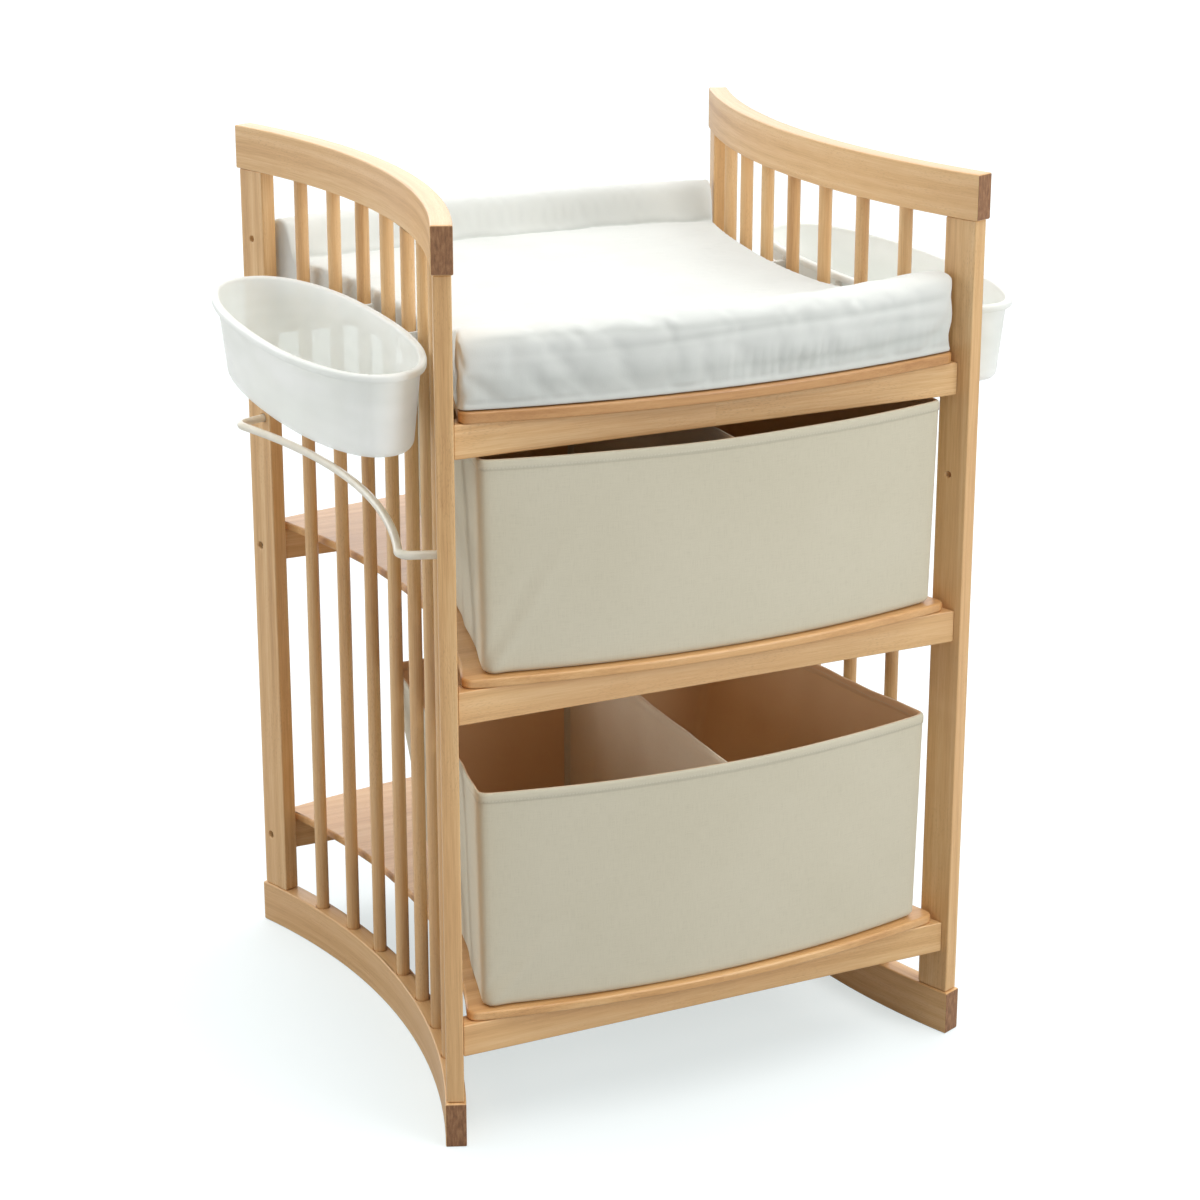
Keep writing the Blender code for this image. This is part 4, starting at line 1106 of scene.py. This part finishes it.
def tube(name, path, radius, mat, sides=28):
    verts, faces = [], []
    up = Vector((0, 0, 1))
    for i, p in enumerate(path):
        d = (path[min(i + 1, len(path) - 1)] - path[max(i - 1, 0)]).normalized()
        s = d.cross(up).normalized()
        rr = radius
        for k_ in range(sides):
            a = 2 * math.pi * k_ / sides
            verts.append(p + s * (rr * math.cos(a)) + up * (rr * math.sin(a)))
    for a in range(len(path) - 1):
        for i in range(sides):
            j = (i + 1) % sides
            faces.append((a * sides + i, a * sides + j, (a + 1) * sides + j, (a + 1) * sides + i))
    faces.append(tuple(range(sides)))
    faces.append(tuple((len(path) - 1) * sides + i for i in range(sides))[::-1])
    obj = add_mesh(name, verts, faces, mat)
    return obj


bar = tube("towel_rod", bar_path(), BAR_R, lacquer())
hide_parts("towel_bar")
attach(bar, "frame")


# ---------------------------------------------------------------- floor, light, camera
def floor_material():
    """Pale studio sweep that glows a little, as a lit translucent table does, so that shadows stay light."""
    k = Kit("studio_floor")
    n = k.noise(k.coord, 3.0, 3, 0.5)
    grain = k.noise(k.coord, 260, 2, 0.5)
    col = k.mix(k.span(n, 0.3, 0.7), (0.420, 0.430, 0.438, 1), (0.430, 0.440, 0.448, 1))
    k.set(Base_Color=col, Roughness=0.9, Normal=k.bump(grain, 0.0001, 0.1), Specular_IOR_Level=0.1)
    # the glow is what the lens gets from the sweep's own light box; it doesn't light the object
    seen = k.t.nodes.new("ShaderNodeLightPath").outputs["Is Camera Ray"]
    k.set(Emission_Color=(0.905, 0.995, 1.0, 1.0), Emission_Strength=k.math("MULTIPLY", seen, 0.60))
    return k.mat


bm = bmesh.new()
bmesh.ops.create_grid(bm, x_segments=8, y_segments=8, size=30)
fm = bpy.data.meshes.new("floor")
bm.to_mesh(fm)
bm.free()
floor = bpy.data.objects.new("floor", fm)
scene.collection.objects.link(floor)
fm.materials.append(floor_material())

world = bpy.data.worlds.new("studio")
world.use_nodes = True
scene.world = world
wt = world.node_tree
bg = wt.nodes["Background"]
# bright white sweep behind the object, a darker room in front of it
direction = wt.nodes.new("ShaderNodeTexCoord").outputs["Generated"]
parts = wt.nodes.new("ShaderNodeSeparateXYZ")
wt.links.new(direction, parts.inputs[0])
reach = wt.nodes.new("ShaderNodeMapRange")
reach.interpolation_type = "SMOOTHSTEP"
reach.inputs["From Min"].default_value = -0.25
reach.inputs["From Max"].default_value = 0.65
reach.inputs["To Min"].default_value = 0.33
reach.inputs["To Max"].default_value = 1.05
wt.links.new(parts.outputs[1], reach.inputs["Value"])
glow = wt.nodes.new("ShaderNodeMapRange")           # the brightest band of it, low behind the object
glow.interpolation_type = "SMOOTHSTEP"
glow.inputs["From Min"].default_value = 0.70
glow.inputs["From Max"].default_value = 0.97
glow.inputs["To Min"].default_value = 0.0
glow.inputs["To Max"].default_value = 0.9
wt.links.new(parts.outputs[1], glow.inputs["Value"])
total = wt.nodes.new("ShaderNodeMath")
total.operation = "ADD"
wt.links.new(reach.outputs[0], total.inputs[0])
wt.links.new(glow.outputs[0], total.inputs[1])
wt.links.new(total.outputs[0], bg.inputs["Strength"])
bg.inputs["Color"].default_value = (0.98, 0.99, 1.0, 1.0)
sweep = wt.nodes.new("ShaderNodeBackground")      # the white sweep behind, as it is seen
sweep.inputs["Color"].default_value = (1.0, 1.0, 1.0, 1.0)
sweep.inputs["Strength"].default_value = 1.02
path = wt.nodes.new("ShaderNodeLightPath")
choose = wt.nodes.new("ShaderNodeMixShader")
wt.links.new(path.outputs["Is Camera Ray"], choose.inputs[0])
wt.links.new(bg.outputs[0], choose.inputs[1])
wt.links.new(sweep.outputs[0], choose.inputs[2])
wt.links.new(choose.outputs[0], wt.nodes["World Output"].inputs["Surface"])


def sun(name, direction, strength, angle, colour=(1, 1, 1)):
    lamp = bpy.data.lights.new(name, "SUN")
    lamp.energy = strength
    lamp.angle = math.radians(angle)
    lamp.color = colour
    obj = bpy.data.objects.new(name, lamp)
    obj.rotation_mode = "QUATERNION"
    obj.rotation_quaternion = Vector(direction).to_track_quat("-Z", "Y")
    obj.location = (0, 0, 4)
    scene.collection.objects.link(obj)
    return obj


def area(name, loc, target, size, power, colour=(1, 1, 1)):
    lamp = bpy.data.lights.new(name, "AREA")
    lamp.shape = "RECTANGLE"
    lamp.size, lamp.size_y = size
    lamp.energy = power
    lamp.color = colour
    obj = bpy.data.objects.new(name, lamp)
    obj.location = loc
    obj.rotation_mode = "QUATERNION"
    obj.rotation_quaternion = (Vector(target) - Vector(loc)).to_track_quat("-Z", "Y")
    scene.collection.objects.link(obj)
    return obj


sun("overhead", (-0.18, 0.06, -1.0), 2.25, 60, (1.0, 0.995, 0.985))
area("right_front", (1.8, -3.3, 1.9), (0.0, -0.1, 0.5), (1.8, 1.8), 56, (1.0, 0.985, 0.96))
area("left", (-3.2, 0.9, 1.35), (0.0, 0.0, 0.5), (1.8, 1.8), 20, (1.0, 0.99, 0.98))

cam_data = bpy.data.cameras.new("camera")
cam = bpy.data.objects.new("camera", cam_data)
scene.collection.objects.link(cam)
scene.camera = cam
cam_data.sensor_width = 36.0
cam_data.lens = 2833.4 / 1200 * 36.0
cam_data.shift_y = -0.1
cam_data.clip_start, cam_data.clip_end = 0.05, 100
yaw, pitch = math.radians(-24.841), math.radians(-17.178)
fwd = Vector((-math.sin(yaw) * math.cos(pitch), math.cos(yaw) * math.cos(pitch), math.sin(pitch)))
cam.location = (-1.2655, -2.7419, 1.5388)
cam.rotation_mode = "QUATERNION"
cam.rotation_quaternion = fwd.to_track_quat("-Z", "Y")

scene.view_settings.view_transform = "Standard"
scene.view_settings.look = "None"
scene.view_settings.exposure = 0.0
scene.view_settings.gamma = 1.0
